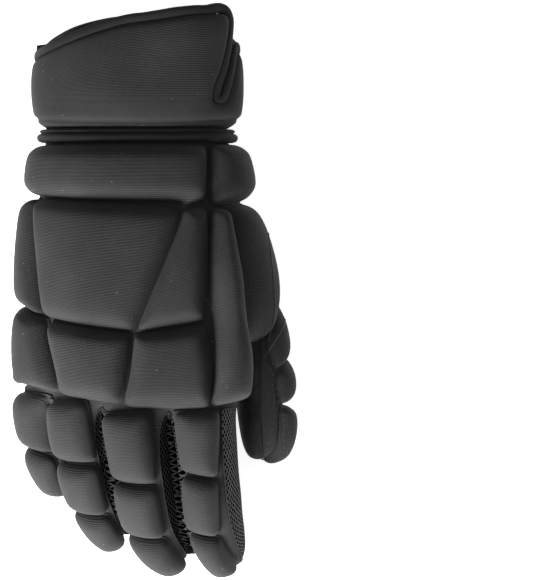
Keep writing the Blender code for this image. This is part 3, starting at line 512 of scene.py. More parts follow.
def thumbLoop(row):
    out, along, z, size, twist, c = row
    centre = thumbCentre(out, along, z)
    half = size * thumb["width"] / 2
    turn = math.radians(-twist)
    loop = []
    for x, up in ((1, 0), (c, c), (0, 1), (-c, c), (-1, 0), (-c, -c), (0, -1), (c, -c)):
        x, up = x * math.cos(turn) - up * math.sin(turn), x * math.sin(turn) + up * math.cos(turn)
        loop.append(centre + Vector((x * half, 0.25 * x * half, up * half)))
    return loop


def buildCage(fingers):
    # the whole hand as coarse quads; a face's material number is its panel, and its UVs are metres of cloth
    bm = bmesh.new()
    uv = bm.loops.layers.uv.new("weave")
    knuckles, crotches = knuckleRing(fingers)
    rings = [handRing(handSections[0], hand["tail"], knuckles)]
    rings += [handRing(row, 0, knuckles) for row in handSections]
    rings.append(knuckles)
    verts = [[bm.verts.new(p) for p in ring] for ring in rings]
    crotchVerts = [bm.verts.new(p) for p in crotches]

    def face(corners, panel, spots):
        made = bm.faces.new(corners)
        made.material_index = panels.index(panel)
        for loop, spot in zip(made.loops, spots):
            loop[uv].uv = spot

    step = hand["palmWidth"] * 2.3 / ringCount
    for i in range(len(verts) - 1):
        for k in range(ringCount):
            if i in thumb["rings"][:2] and k in thumb["lines"][:2]:
                continue
            panel = "back_shell" if k <= rightSide else "mesh_pinky" if k == ringCount - 1 else "palm"
            after = (k + 1) % ringCount
            corners = [verts[i][k], verts[i][after], verts[i + 1][after], verts[i + 1][k]]
            spots = [(step * (k + n), -corner.co.y) for n, corner in zip((0, 1, 1, 0), corners)]
            face(corners, panel, spots)

    def tube(loop, rows, names, tip, tipNames, width, start):
        # eight-sided rows of quads from a loop to a closed end
        before = start
        around = width * 3.4 / 8
        for points, reach in rows:
            ahead = [bm.verts.new(p) for p in points]
            for n in range(8):
                spots = [(around * n, before), (around * (n + 1), before)]
                spots += [(around * (n + 1), reach), (around * n, reach)]
                face([loop[n], loop[(n + 1) % 8], ahead[(n + 1) % 8], ahead[n]], names[n], spots)
            loop, before = ahead, reach
        end = bm.verts.new(tip)
        for n, name in tipNames:
            spots = [(around * n, before), (around * (n + 1), before)]
            spots += [(around * (n + 2), before), (around * (n + 1), before + width * 0.3)]
            face([loop[n], loop[(n + 1) % 8], loop[(n + 2) % 8], end], name, spots)

    root = verts[-1]
    for f, finger in enumerate(fingers):
        top = [root[1 + 2 * f + n] for n in range(3)]
        bottom = [root[ringCount - 1 - 2 * f - n] for n in range(3)]
        left = crotchVerts[f - 1] if f else root[0]
        right = crotchVerts[f] if f < len(fingers) - 1 else root[rightSide]
        gusset = "mesh_" + finger.name
        names = ("back_shell",) * 2 + (gusset,) * 2 + ("palm",) * 2 + (gusset,) * 2
        rows = [(finger.loop(along, size), along * finger.length) for along, size in fingerShape["loops"]]
        tipNames = [(n, gusset) for n in (1, 3, 5, 7)]
        loop = [*top, right, bottom[2], bottom[1], bottom[0], left]
        tube(loop, rows, names, finger.centre(1.0), tipNames, finger.width, 0)

    low, mid, high = (verts[i] for i in thumb["rings"])
    upper, side, lower = thumb["lines"]
    loop = [low[side], low[upper], mid[upper], high[upper], high[side], high[lower], mid[lower], low[lower]]
    names = ("back_shell",) * 2 + ("thumb_palm",) * 4 + ("back_shell",) * 2
    rows = [(thumbLoop(row), row[1] * thumb["length"]) for row in thumb["loops"]]
    tipNames = [(0, "back_shell"), (2, "thumb_palm"), (4, "thumb_palm"), (6, "back_shell")]
    tube(loop, rows, names, thumbCentre(*thumb["tip"]), tipNames, thumb["width"], -thumb["length"] * 0.4)

    bmesh.ops.delete(bm, geom=[v for v in bm.verts if not v.link_faces], context="VERTS")
    bmesh.ops.recalc_face_normals(bm, faces=bm.faces)
    mesh = meshOf(bm, "hand_cage")
    bm.free()
    spare = bpy.data.materials.new("panel")
    for panel in panels:
        mesh.materials.append(spare)
    return mesh


def subdivide(mesh, levels):
    # smooth surface of a coarse mesh as a bmesh
    cage = placed("cage", mesh)
    modifier = cage.modifiers.new("smooth", "SUBSURF")
    modifier.levels = levels
    modifier.render_levels = levels
    modifier.boundary_smooth = "PRESERVE_CORNERS"
    bm = pour(finished(cage), bmesh.new())
    bpy.data.objects.remove(cage)
    bm.normal_update()
    return bm


def dressed(bm, name, look, slot, replaced=()):
    # a finished piece that rides on the glove
    mesh = meshOf(bm, name)
    bm.free()
    mesh.materials.clear()
    mesh.materials.append(looks[look])
    mesh.shade_smooth()
    piece = placed(name, mesh)
    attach(piece, "root")
    if replaced:
        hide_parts(*replaced)
    return piece


fingers = [Finger(name) for name in fingerRows]
cage = buildCage(fingers)

base = subdivide(cage, 3)
baseTree = BVHTree.FromBMesh(base)

# Cloth folds, as grooves pressed into the smooth hand
folds = {
    "puckers": 0.35 * mm, "pitch": 90.0, "palmPuckers": 0.56 * mm, "palmPitch": 45.0,
    "waver": 0.6 * mm, "waverPitch": 160.0, "deepest": 9 * mm,
}
billow = {"reach": 11 * mm, "share": 0.42, "fade": 3.5 * mm, "start": 0.6 * mm}
# a point on each crease, its direction, half length, width and depth
creaseRows = []
fingerCreases = {"pinky": (0.30, 0.62), "ring": (0.30, 0.60, 0.82)}
for finger in fingers:
    for spot in fingerCreases.get(finger.name, (0.28, 0.57, 0.80)):
        side, back = finger.axes(spot)
        start = finger.centre(spot) - back * finger.width * 0.45
        creaseRows.append((start, side, finger.width * 0.42, 1.6 * mm, 1.3 * mm))
palmCreases = (
    ((-0.006, -0.012, 0.017), (0.9, 0.35, 0), 0.034, 2.4 * mm, 1.6 * mm),
    ((-0.012, 0.004, 0.015), (0.95, -0.2, 0), 0.030, 2.2 * mm, 1.2 * mm),
    ((0.020, 0.020, 0.014), (0.35, 0.9, 0), 0.026, 2.4 * mm, 1.5 * mm),
    ((0.006, 0.034, 0.012), (0.15, 1.0, 0), 0.024, 2.0 * mm, 1.0 * mm),
)
for start, along, reach, width, depth in palmCreases:
    creaseRows.append((Vector(start), Vector(along).normalized(), reach, width, depth))


def foldDepth(point, underneath):
    # how far the cloth is pressed in here
    depth = folds["puckers"] * (0.5 + 0.5 * noise.noise(point * folds["pitch"]))
    if not underneath:
        return depth
    depth += folds["palmPuckers"] * (0.5 + 0.5 * noise.noise(point * folds["palmPitch"]))
    for start, along, reach, width, press in creaseRows:
        offset = point - start
        run = offset.dot(along)
        away = offset - along * run
        away = math.hypot(away.x + folds["waver"] * noise.noise(point * folds["waverPitch"]), away.y)
        if abs(run) < reach and away < width * 2.5 and abs(offset.z) < folds["deepest"]:
            depth += press * math.exp(-((away / width) ** 2)) * (1 - (run / reach) ** 2)
    return depth


def fillGap(bm, outward):
    # a finger's mesh side billows towards the finger beside it, and stays put at its seams
    seam = treeOf([v.co.copy() for v in bm.verts if v.is_boundary])
    for vert in bm.verts:
        out = Vector(vert[outward])
        hit, _, _, distance = baseTree.ray_cast(vert.co + out * billow["start"], out, billow["reach"])
        if hit is None:
            continue
        inside = min(seam.find(vert.co)[2] / billow["fade"], 1)
        vert.co += out * distance * billow["share"] * inside * inside * (3 - 2 * inside)


def buildPanels():
    surface = subdivide(cage, hand["levels"])
    shown = {"back_shell": ("knit", "knit"), "palm": ("suede", "suede")}
    shown["thumb_palm"] = ("thumbSuede", "suede")
    for index, name in enumerate(panels):
        bm = surface.copy()
        bm.verts.layers.float_vector.new("outward")
        outward = bm.verts.layers.float_vector["outward"]
        for vert in bm.verts:
            vert[outward] = vert.normal
        other = [f for f in bm.faces if f.material_index != index]
        bmesh.ops.delete(bm, geom=other, context="FACES")
        rim = bmesh.ops.inset_region(
            bm, faces=bm.faces[:], use_boundary=True, use_even_offset=True, thickness=hand["seam"] / 2
        )
        bmesh.ops.delete(bm, geom=rim["faces"], context="FACES")
        if name.startswith("mesh"):
            fillGap(bm, outward)
        for vert in bm.verts:
            underneath = name == "palm" or (name == "thumb_palm" and vert.normal.z < 0)
            vert.co -= Vector(vert[outward]) * foldDepth(vert.co, underneath)
        wall = hand["walls"].get(name, hand["walls"]["mesh"])
        made = bmesh.ops.extrude_face_region(bm, geom=bm.faces[:], use_keep_orig=True)
        for vert in [g for g in made["geom"] if isinstance(g, bmesh.types.BMVert)]:
            vert.co -= Vector(vert[outward]) * wall * 0.8
        bmesh.ops.recalc_face_normals(bm, faces=bm.faces)
        look, slot = shown.get(name, ("mesh", "mesh"))
        dressed(bm, name + "_cloth", look, slot, (name,))
    surface.free()


buildPanels()
print("hand panels: %d" % len(panels))


# Foam pads under knit cloth
class HandGuide:
    # smooth surface through the hand's rings, read by (line round the hand, share along it)
    def __init__(self):
        knuckles = knuckleRing(fingers)[0]
        self.alongs = [-hand["tail"] / hand["length"]] + [row[0] for row in handSections] + [1]
        self.rings = [handRing(handSections[0], hand["tail"], knuckles)]
        self.rings += [handRing(row, 0, knuckles) for row in handSections]
        self.rings.append(knuckles)

    def spot(self, line, along):
        k = math.floor(line)
        t = line - k
        points = []
        for ring in self.rings:
            points.append(bend(*(ring[(k + n) % ringCount] for n in (-1, 0, 1, 2)), t))
        return smoothPoint(self.alongs, points, along)

    def ray(self, line, along):
        lengthwise = self.spot(line, along + 0.02) - self.spot(line, along - 0.02)
        sideways = self.spot(line + 0.3, along) - self.spot(line - 0.3, along)
        outward = sideways.cross(lengthwise).normalized() * -1
        return self.spot(line, along) + outward * 25 * mm, -outward


class ThumbGuide:
    # the thumb by (quarter turns from its outer side over its top, share along it)
    def ray(self, turn, along):
        rows = thumb["root"] + tuple(row[:3] for row in thumb["loops"])
        alongs = [row[1] for row in rows]
        out, z = (smoothValue(alongs, [row[c] for row in rows], along) for c in (0, 2))
        angle = math.radians(90 * turn)
        outward = Vector((math.cos(angle), 0, math.sin(angle)))
        return thumbCentre(out, along, z) + outward * thumb["width"] * 1.5, -outward


pads = {
    "height": 8.5 * mm, "fingerHeight": 6.5 * mm, "thumbHeight": 6 * mm, "seat": 0.25 * mm,
    "crown": 1.5 * mm, "shoulder": 6.6 * mm, "valley": 1.1 * mm, "cell": 3.4 * mm, "corner": 0.03,
    "swell": 1.0 * mm,
    "edges": (0, 0.25, 0.5, 0.8, 1.15, 1.7, 2.5, 3.7, 5.4), "skirt": 1.7 * mm, "apart": 0.12 * mm,
    "fade": 5 * mm, "pull": 1.0 * mm, "lay": 1.5 * mm, "eased": {"thumb_side_plate": 14},
}
# the cloth simulation that swells the pads: pressure inside, no weight
swelling = {
    "mass": 0.15, "tension_stiffness": 25, "compression_stiffness": 25, "shear_stiffness": 12,
    "bending_stiffness": 1.5, "use_pressure": True, "uniform_pressure_force": 4.0, "quality": 5,
}
swellSteps = 12
# soft ridges along a plate: how many, how deep
padRidges = {"index_side_plate": (3, 0.35 * mm), "thumb_side_plate": (3, 0.4 * mm)}
# guide, height, then corners: wrist end left, wrist end right, tip end right, tip end left
padRows = {
    "band_pad": ("hand", "height", (-0.40, 0.015), (7.35, 0.015), (7.08, 0.225), (-0.35, 0.195)),
    "band_side_pad": ("hand", "height", (7.50, 0.015), (11.45, 0.015), (11.45, 0.200), (7.25, 0.235)),
    "wrist_pad": ("hand", "height", (11.55, 0.015), (12.55, 0.015), (12.45, 0.160), (11.55, 0.170)),
    "pinky_side_plate": ("hand", "height", (-0.45, 0.215), (1.05, 0.210), (2.40, 0.660), (-0.35, 0.585)),
    "main_plate": ("hand", "height", (1.10, 0.210), (6.28, 0.258), (5.58, 0.715), (2.45, 0.656)),
    "wedge_plate": ("hand", "height", (6.33, 0.258), (7.17, 0.256), (7.50, 0.675), (5.65, 0.715)),
    "index_side_plate": ("hand", "height", (7.30, 0.250), (8.25, 0.262), (10.20, 0.965), (8.42, 0.995)),
    "thumb_side_plate": ("thumb", "height", (0.94, -0.86), (-0.64, -0.93), (0.62, 0.04), (1.08, 0.08)),
    "pinky_knuckle": ("hand", "height", (0.20, 0.600), (2.50, 0.672), (3.50, 0.970), (0.50, 0.930)),
    "middle_knuckle": ("hand", "height", (2.62, 0.680), (5.53, 0.728), (5.65, 0.983), (3.60, 0.977)),
    "index_knuckle": ("hand", "height", (5.62, 0.730), (7.52, 0.690), (8.35, 0.995), (5.73, 0.988)),
    "pinky_pad_1": ("pinky", "fingerHeight", (-0.80, 0.060), (0.60, 0.080), (0.28, 0.545), (-0.80, 0.480)),
    "pinky_pad_2": ("pinky", "fingerHeight", (-0.80, 0.490), (0.28, 0.555), (0.20, 0.920), (-0.50, 0.900)),
    "ring_pad_1": ("ring", "fingerHeight", (-0.80, 0.000), (0.40, 0.005), (0.36, 0.345), (-0.80, 0.325)),
    "ring_pad_2": ("ring", "fingerHeight", (-0.80, 0.335), (0.36, 0.355), (0.33, 0.655), (-0.60, 0.616)),
    "ring_pad_3": ("ring", "fingerHeight", (-0.60, 0.626), (0.33, 0.665), (0.33, 0.920), (-0.35, 0.920)),
    "middle_pad_1": ("middle", "fingerHeight", (-0.62, 0.000), (0.37, 0.011), (0.27, 0.362), (-0.70, 0.340)),
    "middle_pad_2": ("middle", "fingerHeight", (-0.70, 0.350), (0.27, 0.373), (0.29, 0.643), (-0.60, 0.612)),
    "middle_pad_3": ("middle", "fingerHeight", (-0.60, 0.622), (0.30, 0.653), (0.25, 0.900), (-0.35, 0.880)),
    "index_pad_1": ("index", "fingerHeight", (-0.45, 0.000), (0.36, 0.010), (0.25, 0.334), (-0.48, 0.305)),
    "index_pad_2": ("index", "fingerHeight", (-0.48, 0.315), (0.25, 0.345), (0.14, 0.632), (-0.52, 0.600)),
    "index_pad_3": ("index", "fingerHeight", (-0.52, 0.612), (0.14, 0.644), (0.16, 0.880), (-0.40, 0.870)),
    "thumb_pad_4": ("thumb", "thumbHeight", (-0.84, -0.93), (-1.34, -0.97), (-1.30, -0.66), (0.36, -0.14)),
    "thumb_pad_3": ("thumb", "thumbHeight", (0.52, 0.02), (-1.30, -0.62), (-1.25, -0.02), (0.40, 0.30)),
    "thumb_pad_2": ("thumb", "thumbHeight", (0.40, 0.31), (-1.25, -0.01), (-1.20, 0.50), (0.36, 0.55)),
    "thumb_pad_1": ("thumb", "thumbHeight", (0.36, 0.56), (-1.20, 0.51), (-1.05, 0.93), (0.25, 0.95)),
}
guides = {finger.name: finger for finger in fingers}
guides["hand"] = HandGuide()
guides["thumb"] = ThumbGuide()


def land(start, inward):
    return baseTree.ray_cast(start, inward)[0] or baseTree.find_nearest(start)[0]


def padLines(length):
    # grid lines over 0 to 1, crowded at both shoulders
    squeeze = min(1, length / 2 / (pads["shoulder"] * 1.25))
    edges = [e * mm * squeeze / length for e in pads["edges"]]
    inner = max(2, round((1 - 2 * edges[-1]) * length / pads["cell"]))
    lines = edges[:-1] + [edges[-1] + (1 - 2 * edges[-1]) * n / inner for n in range(inner + 1)]
    return lines + [1 - e for e in reversed(edges[:-1])]


def padProfile(distance, height, shoulder):
    # cloth leaves the groove's floor, climbs the foam's wall and rounds over its shoulder
    rise = min(max(distance - pads["valley"] * 0.5, 0) / (shoulder - pads["valley"] * 0.5), 1)
    return pads["seat"] + height * (0.84 * math.sqrt(1 - (1 - rise) ** 2) + 0.16 * rise)


def padGrid(name):
    # the pad's cloth as a grid that is landed on the hand
    guideName, _, *corners = padRows[name]
    guide = guides[guideName]
    a, b, c, d = (land(*guide.ray(*corner)) for corner in corners)
    us = padLines(((b - a).length + (c - d).length) / 2)
    vs = padLines(((d - a).length + (c - b).length) / 2)
    rays = []
    for v in vs:
        for u in us:
            roundU = 0.5 + (u - 0.5) * (1 - pads["corner"] * abs(2 * v - 1) ** 5)
            roundV = 0.5 + (v - 0.5) * (1 - pads["corner"] * abs(2 * u - 1) ** 5)
            spot = []
            for c in range(2):
                start = corners[0][c] * (1 - roundU) + corners[1][c] * roundU
                end = corners[3][c] * (1 - roundU) + corners[2][c] * roundU
                spot.append(start * (1 - roundV) + end * roundV)
            rays.append(guide.ray(*spot))
    columns, rows = len(us), len(vs)
    depths = [(land(start, inward) - start).dot(inward) for start, inward in rays]
    for _ in range(4):
        relaxed = list(depths)
        for i in range(rows):
            for j in range(columns):
                near = [(a, b) for a, b in ((i - 1, j), (i + 1, j), (i, j - 1), (i, j + 1))]
                near = [depths[a * columns + b] for a, b in near if 0 <= a < rows and 0 <= b < columns]
                relaxed[i * columns + j] = min(depths[i * columns + j], sum(near) / len(near))
        depths = relaxed
    flat = [start + inward * depth for (start, inward), depth in zip(rays, depths)]
    return us, vs, rays, [flat[i * columns:(i + 1) * columns] for i in range(rows)]


def borderSpots(points):
    # close-set points along a grid's border
    lines = list(zip(*points))
    ring = [*points[0], *lines[-1][1:], *reversed(points[-1][:-1]), *reversed(lines[0][1:-1])]
    spots = []
    for a, b in zip(ring, ring[1:] + ring[:1]):
        steps = max(1, round((b - a).length / (0.6 * mm)))
        spots += [a + (b - a) * n / steps for n in range(steps)]
    return spots


def skirted(points, others):
    # the grid with its border pushed out to the middle of the grooves round it
    rows, columns = len(points), len(points[0])

    def reach(point):
        near = others.find(point)[2]
        return max(min(near / 2 - pads["apart"], pads["skirt"]), -pads["pull"])

    def eased(spots):
        values = [reach(spot) for spot in spots]
        for _ in range(3):
            near = [values[max(k - 1, 0):k + 2] for k in range(len(values))]
            values = [min(value, sum(group) / len(group)) for value, group in zip(values, near)]
        return values

    def fading(gone, whole):
        return max(0, 1 - gone / min(pads["fade"], whole / 2))

    lines = list(zip(*points))
    left, right, start, end = (eased(side) for side in (lines[0], lines[-1], points[0], points[-1]))
    moved = []
    for i in range(rows):
        wide = lineLength(points[i])
        line = []
        for j in range(columns):
            gone, down = lineLength(points[i][:j + 1]), lineLength(lines[j][:i + 1])
            long = lineLength(lines[j])
            sideways = (points[i][min(j + 1, columns - 1)] - points[i][max(j - 1, 0)]).normalized()
            lengthways = (points[min(i + 1, rows - 1)][j] - points[max(i - 1, 0)][j]).normalized()
            push = sideways * (right[i] * fading(wide - gone, wide) - left[i] * fading(gone, wide))
            push += lengthways * (end[j] * fading(long - down, long) - start[j] * fading(down, long))
            spot = points[i][j] + push
            near, normal, _, _ = baseTree.find_nearest(spot)
            sunk = (spot - near).dot(normal)
            line.append(spot - normal * sunk if sunk < 0 or (push.length and sunk < pads["lay"]) else spot)
        moved.append(line)
    return moved


def outwards(points, rays):
    rows, columns = len(points), len(points[0])
    outs = []
    for i in range(rows):
        for j in range(columns):
            below, above = points[max(i - 1, 0)][j], points[min(i + 1, rows - 1)][j]
            before, after = points[i][max(j - 1, 0)], points[i][min(j + 1, columns - 1)]
            out = (after - before).cross(above - below).normalized()
            if out.dot(rays[i * columns + j][1]) > 0:
                out.negate()
            outs.append(out)
    return outs


def buildPad(name, grids):
    us, vs, rays, points = grids[name]
    others = [spot for other, grid in grids.items() if other != name for spot in borderSpots(grid[3])]
    points = skirted(points, treeOf(others))
    outs = outwards(points, rays)
    height = pads[padRows[name][1]]
    ridges, depth = padRidges.get(name, (1, 0))
    columns, rows = len(us), len(vs)
    lines = list(zip(*points))
    width, length = lineLength(points[rows // 2]), lineLength(lines[columns // 2])
    bm = bmesh.new()
    uv = bm.loops.layers.uv.new("weave")
    bmesh.ops.create_grid(bm, x_segments=columns - 1, y_segments=rows - 1, size=0.5, calc_uvs=False)
    cells = {}
    for vert in bm.verts:
        cells[vert] = round((vert.co.y + 0.5) * (rows - 1)), round((vert.co.x + 0.5) * (columns - 1))
    for f in bm.faces:
        for loop in f.loops:
            i, j = cells[loop.vert]
            loop[uv].uv = (us[j] * width, vs[i] * length)
    lifted = []
    for vert, (i, j) in cells.items():
        wide, long = lineLength(points[i]), lineLength(lines[j])
        fromSide, fromEnd = min(us[j], 1 - us[j]) * wide, min(vs[i], 1 - vs[i]) * long
        shoulder = min(pads["shoulder"], wide / 2.3, long / 2.3)
        # a round blend of the two walls at a corner
        a, b = (1 - min(fromSide / shoulder, 1)), (1 - min(fromEnd / shoulder, 1))
        distance = max(shoulder * (1 - min((a**6 + b**6) ** (1 / 6), 1)), 0)
        crown = pads["crown"] * (1 - (2 * us[j] - 1) ** 2) * (1 - (2 * vs[i] - 1) ** 2)
        crown += depth * (1 - math.cos(2 * math.pi * ridges * us[j])) * min(distance / shoulder, 1)
        out = outs[i * columns + j]
        lifted.append((vert, points[i][j], out))
        vert.co = points[i][j] + out * (padProfile(distance, height, shoulder) + crown)
    bm.normal_update()
    if sum(vert.normal.dot(out) for vert, _, out in lifted) < 0:
        bmesh.ops.reverse_faces(bm, faces=bm.faces[:])
    bm.verts.index_update()
    return bm, lifted


def swell(built):
    # all pads as one cloth with the foam's pressure behind it, held at its edges
    whole = bmesh.new()
    starts = {}
    for name, (bm, _) in built.items():
        starts[name] = len(whole.verts)
        pour(meshOf(bm, "spare"), whole)
    held = set()
    for vert in [v for v in whole.verts if v.is_boundary]:
        held.update([vert.index, *(e.other_vert(vert).index for e in vert.link_edges)])
    cloth = placed("pad_cloth", meshOf(whole, "pad_cloth"))
    whole.free()
    cloth.vertex_groups.new(name="held").add(list(held), 1.0, "REPLACE")
    modifier = cloth.modifiers.new("swell", "CLOTH")
    modifier.settings.effector_weights.gravity = 0
    modifier.settings.vertex_group_mass = "held"
    for setting, value in swelling.items():
        setattr(modifier.settings, setting, value)
    modifier.point_cache.frame_start, modifier.point_cache.frame_end = 1, swellSteps
    for step in range(swellSteps):
        bpy.context.scene.frame_set(step + 1)
    graph = bpy.context.evaluated_depsgraph_get()
    swelled = [v.co.copy() for v in cloth.evaluated_get(graph).data.vertices]
    bpy.context.scene.frame_set(1)
    bpy.data.objects.remove(cloth)
    furthest = 0
    for name, (bm, _) in built.items():
        for vert in bm.verts:
            move = swelled[starts[name] + vert.index] - vert.co
            furthest = max(furthest, move.length)
            vert.co += move.normalized() * min(move.length, pads["swell"])
    print("pads swelled by up to %.1f mm" % (furthest / mm))


def closePad(bm, lifted):
    # a thin seat under the cloth, so that the pad is a closed form
    made = bmesh.ops.extrude_face_region(bm, geom=bm.faces[:], use_keep_orig=True)
    copies = {v.co.copy().freeze(): v for v in made["geom"] if isinstance(v, bmesh.types.BMVert)}
    for vert, point, out in lifted:
        copies[vert.co.copy().freeze()].co = point + out * pads["seat"] * 0.3
    bmesh.ops.recalc_face_normals(bm, faces=bm.faces)


padGrids = {name: padGrid(name) for name in padRows}
builtPads = {name: buildPad(name, padGrids) for name in padRows}
swell(builtPads)
for padName, (bm, lifted) in builtPads.items():
    inner = [v for v in bm.verts if not v.is_boundary]
    for _ in range(pads["eased"].get(padName, 0)):
        bmesh.ops.smooth_vert(bm, verts=inner, factor=0.5, use_axis_x=True, use_axis_y=True, use_axis_z=True)
    closePad(bm, lifted)
    pad = dressed(bm, padName + "_foam", "knit", "knit", (padName,))
    rounding = pad.modifiers.new("round", "SUBSURF")
    rounding.levels = 1
    rounding.render_levels = 1
print("foam pads: %d" % len(padRows))


# Wrist roll, cuff and its binding
cuff = {
    "width": 99.4 * mm, "top": 58 * mm, "floor": 4 * mm, "wall": 6 * mm, "length": 57 * mm, "taper": 8 * mm,
    "slotDepth": 44 * mm, "slotGap": 1.8 * mm, "slotTurns": (163, 141), "corners": (10 * mm, 6 * mm),
    "columns": 150, "slotColumns": 6, "rows": 52, "ripple": 0.5 * mm, "gap": 0.3 * mm,
    "shoulder": 3.2 * mm, "tuck": 1.8 * mm, "pillow": 1.2 * mm, "pillowReach": 12 * mm,
    "waist": 2.6 * mm, "waistReach": 19 * mm, "lap": 0.5 * mm, "slotLap": 1.0 * mm, "slotRows": 22,
    # one fold over the roll: its height, bow, waver, depth and width
    "fold": (3.4 * mm, -1.2 * mm, 0.7 * mm, 1.3 * mm, 1.1 * mm),
}
# degrees from the little finger's side over the back, and share of the cuff's length
cuffEdge = (
    (0, 0.64), (15, 0.665), (37, 0.725), (63, 0.83), (80, 0.91), (93, 0.97), (113, 1.02), (130, 1.03),
    (158, 1.03), (166, 0.76), (174, 0.73), (184, 0.70), (205, 0.78), (235, 0.92), (270, 0.97), (300, 0.89),
    (330, 0.735), (345, 0.655), (360, 0.64),
)
roll = {"length": 7 * mm, "height": 4.5 * mm, "steps": 180}
binding = {"width": 5 * mm, "thickness": 5.6 * mm, "steps": 260}
cuffStart = hand["wristY"] + roll["length"]


def cuffEdgeY(turn):
    turns = [row[0] for row in cuffEdge]
    return cuffStart + smoothValue(turns, [row[1] for row in cuffEdge], turn % 360) * cuff["length"]


def cuffPoint(turn, out, y):
    # point of the cuff's section this far out from its outer face; its underside is flat
    centre = handSections[0][1] * hand["palmWidth"]
    low, high = cuff["floor"] - 3 * mm - out, cuff["top"] + out
    x, z = ovalPoint(math.radians(180 - turn), centre, cuff["width"] / 2 + out, low, high)
    return Vector((x, y, max(z, cuff["floor"] - out)))


def cuffStep(turn, distance):
    length = (cuffPoint(turn + 0.5, 0, 0) - cuffPoint(turn - 0.5, 0, 0)).length
    return turn + distance / length


def edgeBySlot(side):
    # height of the cuff's edge on the thumb side (1) or the back (-1) of the slot
    return cuffEdgeY(cuff["slotTurns"][0] + side * 10)


def slotTurn(y):
    share = (edgeBySlot(-1) - y) / cuff["slotDepth"]
    first, last = cuff["slotTurns"]
    return first + (last - first) * min(max(share, 0), 1) ** 2


def wrapped(columns, rows, place, mark):
    # a grid bent into shape by place(column share, row share), with UVs in metres from mark
    bm = bmesh.new()
    uv = bm.loops.layers.uv.new("weave")
    bmesh.ops.create_grid(bm, x_segments=columns, y_segments=rows, size=0.5, calc_uvs=False)
    shares = {v: ((v.co.x + 0.5), (v.co.y + 0.5)) for v in bm.verts}
    for f in bm.faces:
        for loop in f.loops:
            loop[uv].uv = mark(*shares[loop.vert])
    for vert, spot in shares.items():
        vert.co = place(*spot)
    return bm


def buildRoll():
    # two soft folds of tape round the wrist
    lobes = (
        (-0.50, 0.10), (-0.49, 0.45), (-0.40, 0.80), (-0.22, 1.0), (-0.02, 0.98), (0.12, 0.80), (0.19, 0.52),
        (0.24, 0.60), (0.33, 0.72), (0.42, 0.62), (0.49, 0.40), (0.50, 0.10), (0.25, 0.04), (-0.25, 0.04),
    )
    guide = guides["hand"]
    spots = []
    for n in range(roll["steps"]):
        start, inward = guide.ray(ringCount * n / roll["steps"], -roll["length"] / 2 / hand["length"])
        hit = land(start, inward)
        spots.append((hit, Vector((-inward.x, 0, -inward.z)).normalized()))

    def place(u, v):
        n = round(u * roll["steps"]) % roll["steps"]
        spot, out = spots[n]
        along, up = lobes[round(v * len(lobes)) % len(lobes)]
        ripple = 0.35 * mm * noise.noise(spot * 120.0 + Vector((0, along * 4, 0)))
        y = spot.y + along * roll["length"] * 0.94 + 0.25 * mm * noise.noise(spot * 60.0)
        return Vector((spot.x, y, spot.z)) + out * (up * roll["height"] + 0.4 * mm + ripple * up)

    bm = wrapped(roll["steps"], len(lobes), place, lambda u, v: (v * 20 * mm, u * 270 * mm))
    dressed(closedUp(bm), "wrist_roll_cloth", "roll", "roll", ("wrist_roll",))


def bindingPath():
    # (turn, y) once round the cuff's edge and its slot
    half = binding["width"] / 2
    slotHalf = half + cuff["slotGap"] / 2
    bottom = edgeBySlot(-1) - cuff["slotDepth"] - half
    ends = []
    for side, radius in ((1, cuff["corners"][1]), (-1, cuff["corners"][0])):
        turnAt = cuffStep(slotTurn(edgeBySlot(side) - radius), side * slotHalf)
        corner = radius - half
        top = cuffEdgeY(cuffStep(turnAt, side * corner)) - half
        points = [(cuffStep(slotTurn(bottom), side * slotHalf * 0.7), bottom + slotHalf * 0.25)]
        for share in (0.1, 0.4, 0.7, 1):
            y = bottom + slotHalf + (top - corner - bottom - slotHalf) * share
            points.append((cuffStep(slotTurn(y), side * slotHalf), y))
        for angle in (30, 60, 90):
            a = math.radians(angle)
            across = cuffStep(turnAt, side * corner * (1 - math.cos(a)))
            points.append((across, top - corner * (1 - math.sin(a))))
        ends.append(points)
    first, last = ends[0][-1][0], ends[1][-1][0] + 360
    turns = [first + (last - first) * n / 34 for n in range(1, 34)]
    middle = [(turn, cuffEdgeY(turn) - half) for turn in turns]
    down = [(turn + 360, y) for turn, y in reversed(ends[1])]
    return [(slotTurn(bottom), bottom), *ends[0], *middle, *down]


def softened(points, before, after, count):
    # an open run of points at even steps on a smooth curve, with the neighbours of its ends given
    held = [before, *points, after]
    curve = [points[0]]
    for i in range(1, len(points)):
        curve += [bend(*held[i - 1:i + 3], n / 10) for n in range(1, 11)]
    lengths = [(b - a).length for a, b in zip(curve, curve[1:])]
    total, made, i, gone = sum(lengths), [], 0, 0.0
    for n in range(count):
        target = total * n / count
        while gone + lengths[i] < target:
            gone += lengths[i]
            i += 1
        t = (target - gone) / lengths[i]
        made.append(curve[i] * (1 - t) + curve[i + 1] * t)
    return made, total


def tapeSpots():
    # (turn, y) at even steps along the binding, and its length
    degree = 0.95 * mm
    flat = [Vector((turn * degree, y, 0)) for turn, y in bindingPath()]
    wrap = Vector((360 * degree, 0, 0))
    closed = flat + [flat[0] + wrap]
    spots, total = softened(closed, flat[-1] - wrap, flat[1] + wrap, binding["steps"])
    return [(spot.x / degree, spot.y) for spot in spots], total


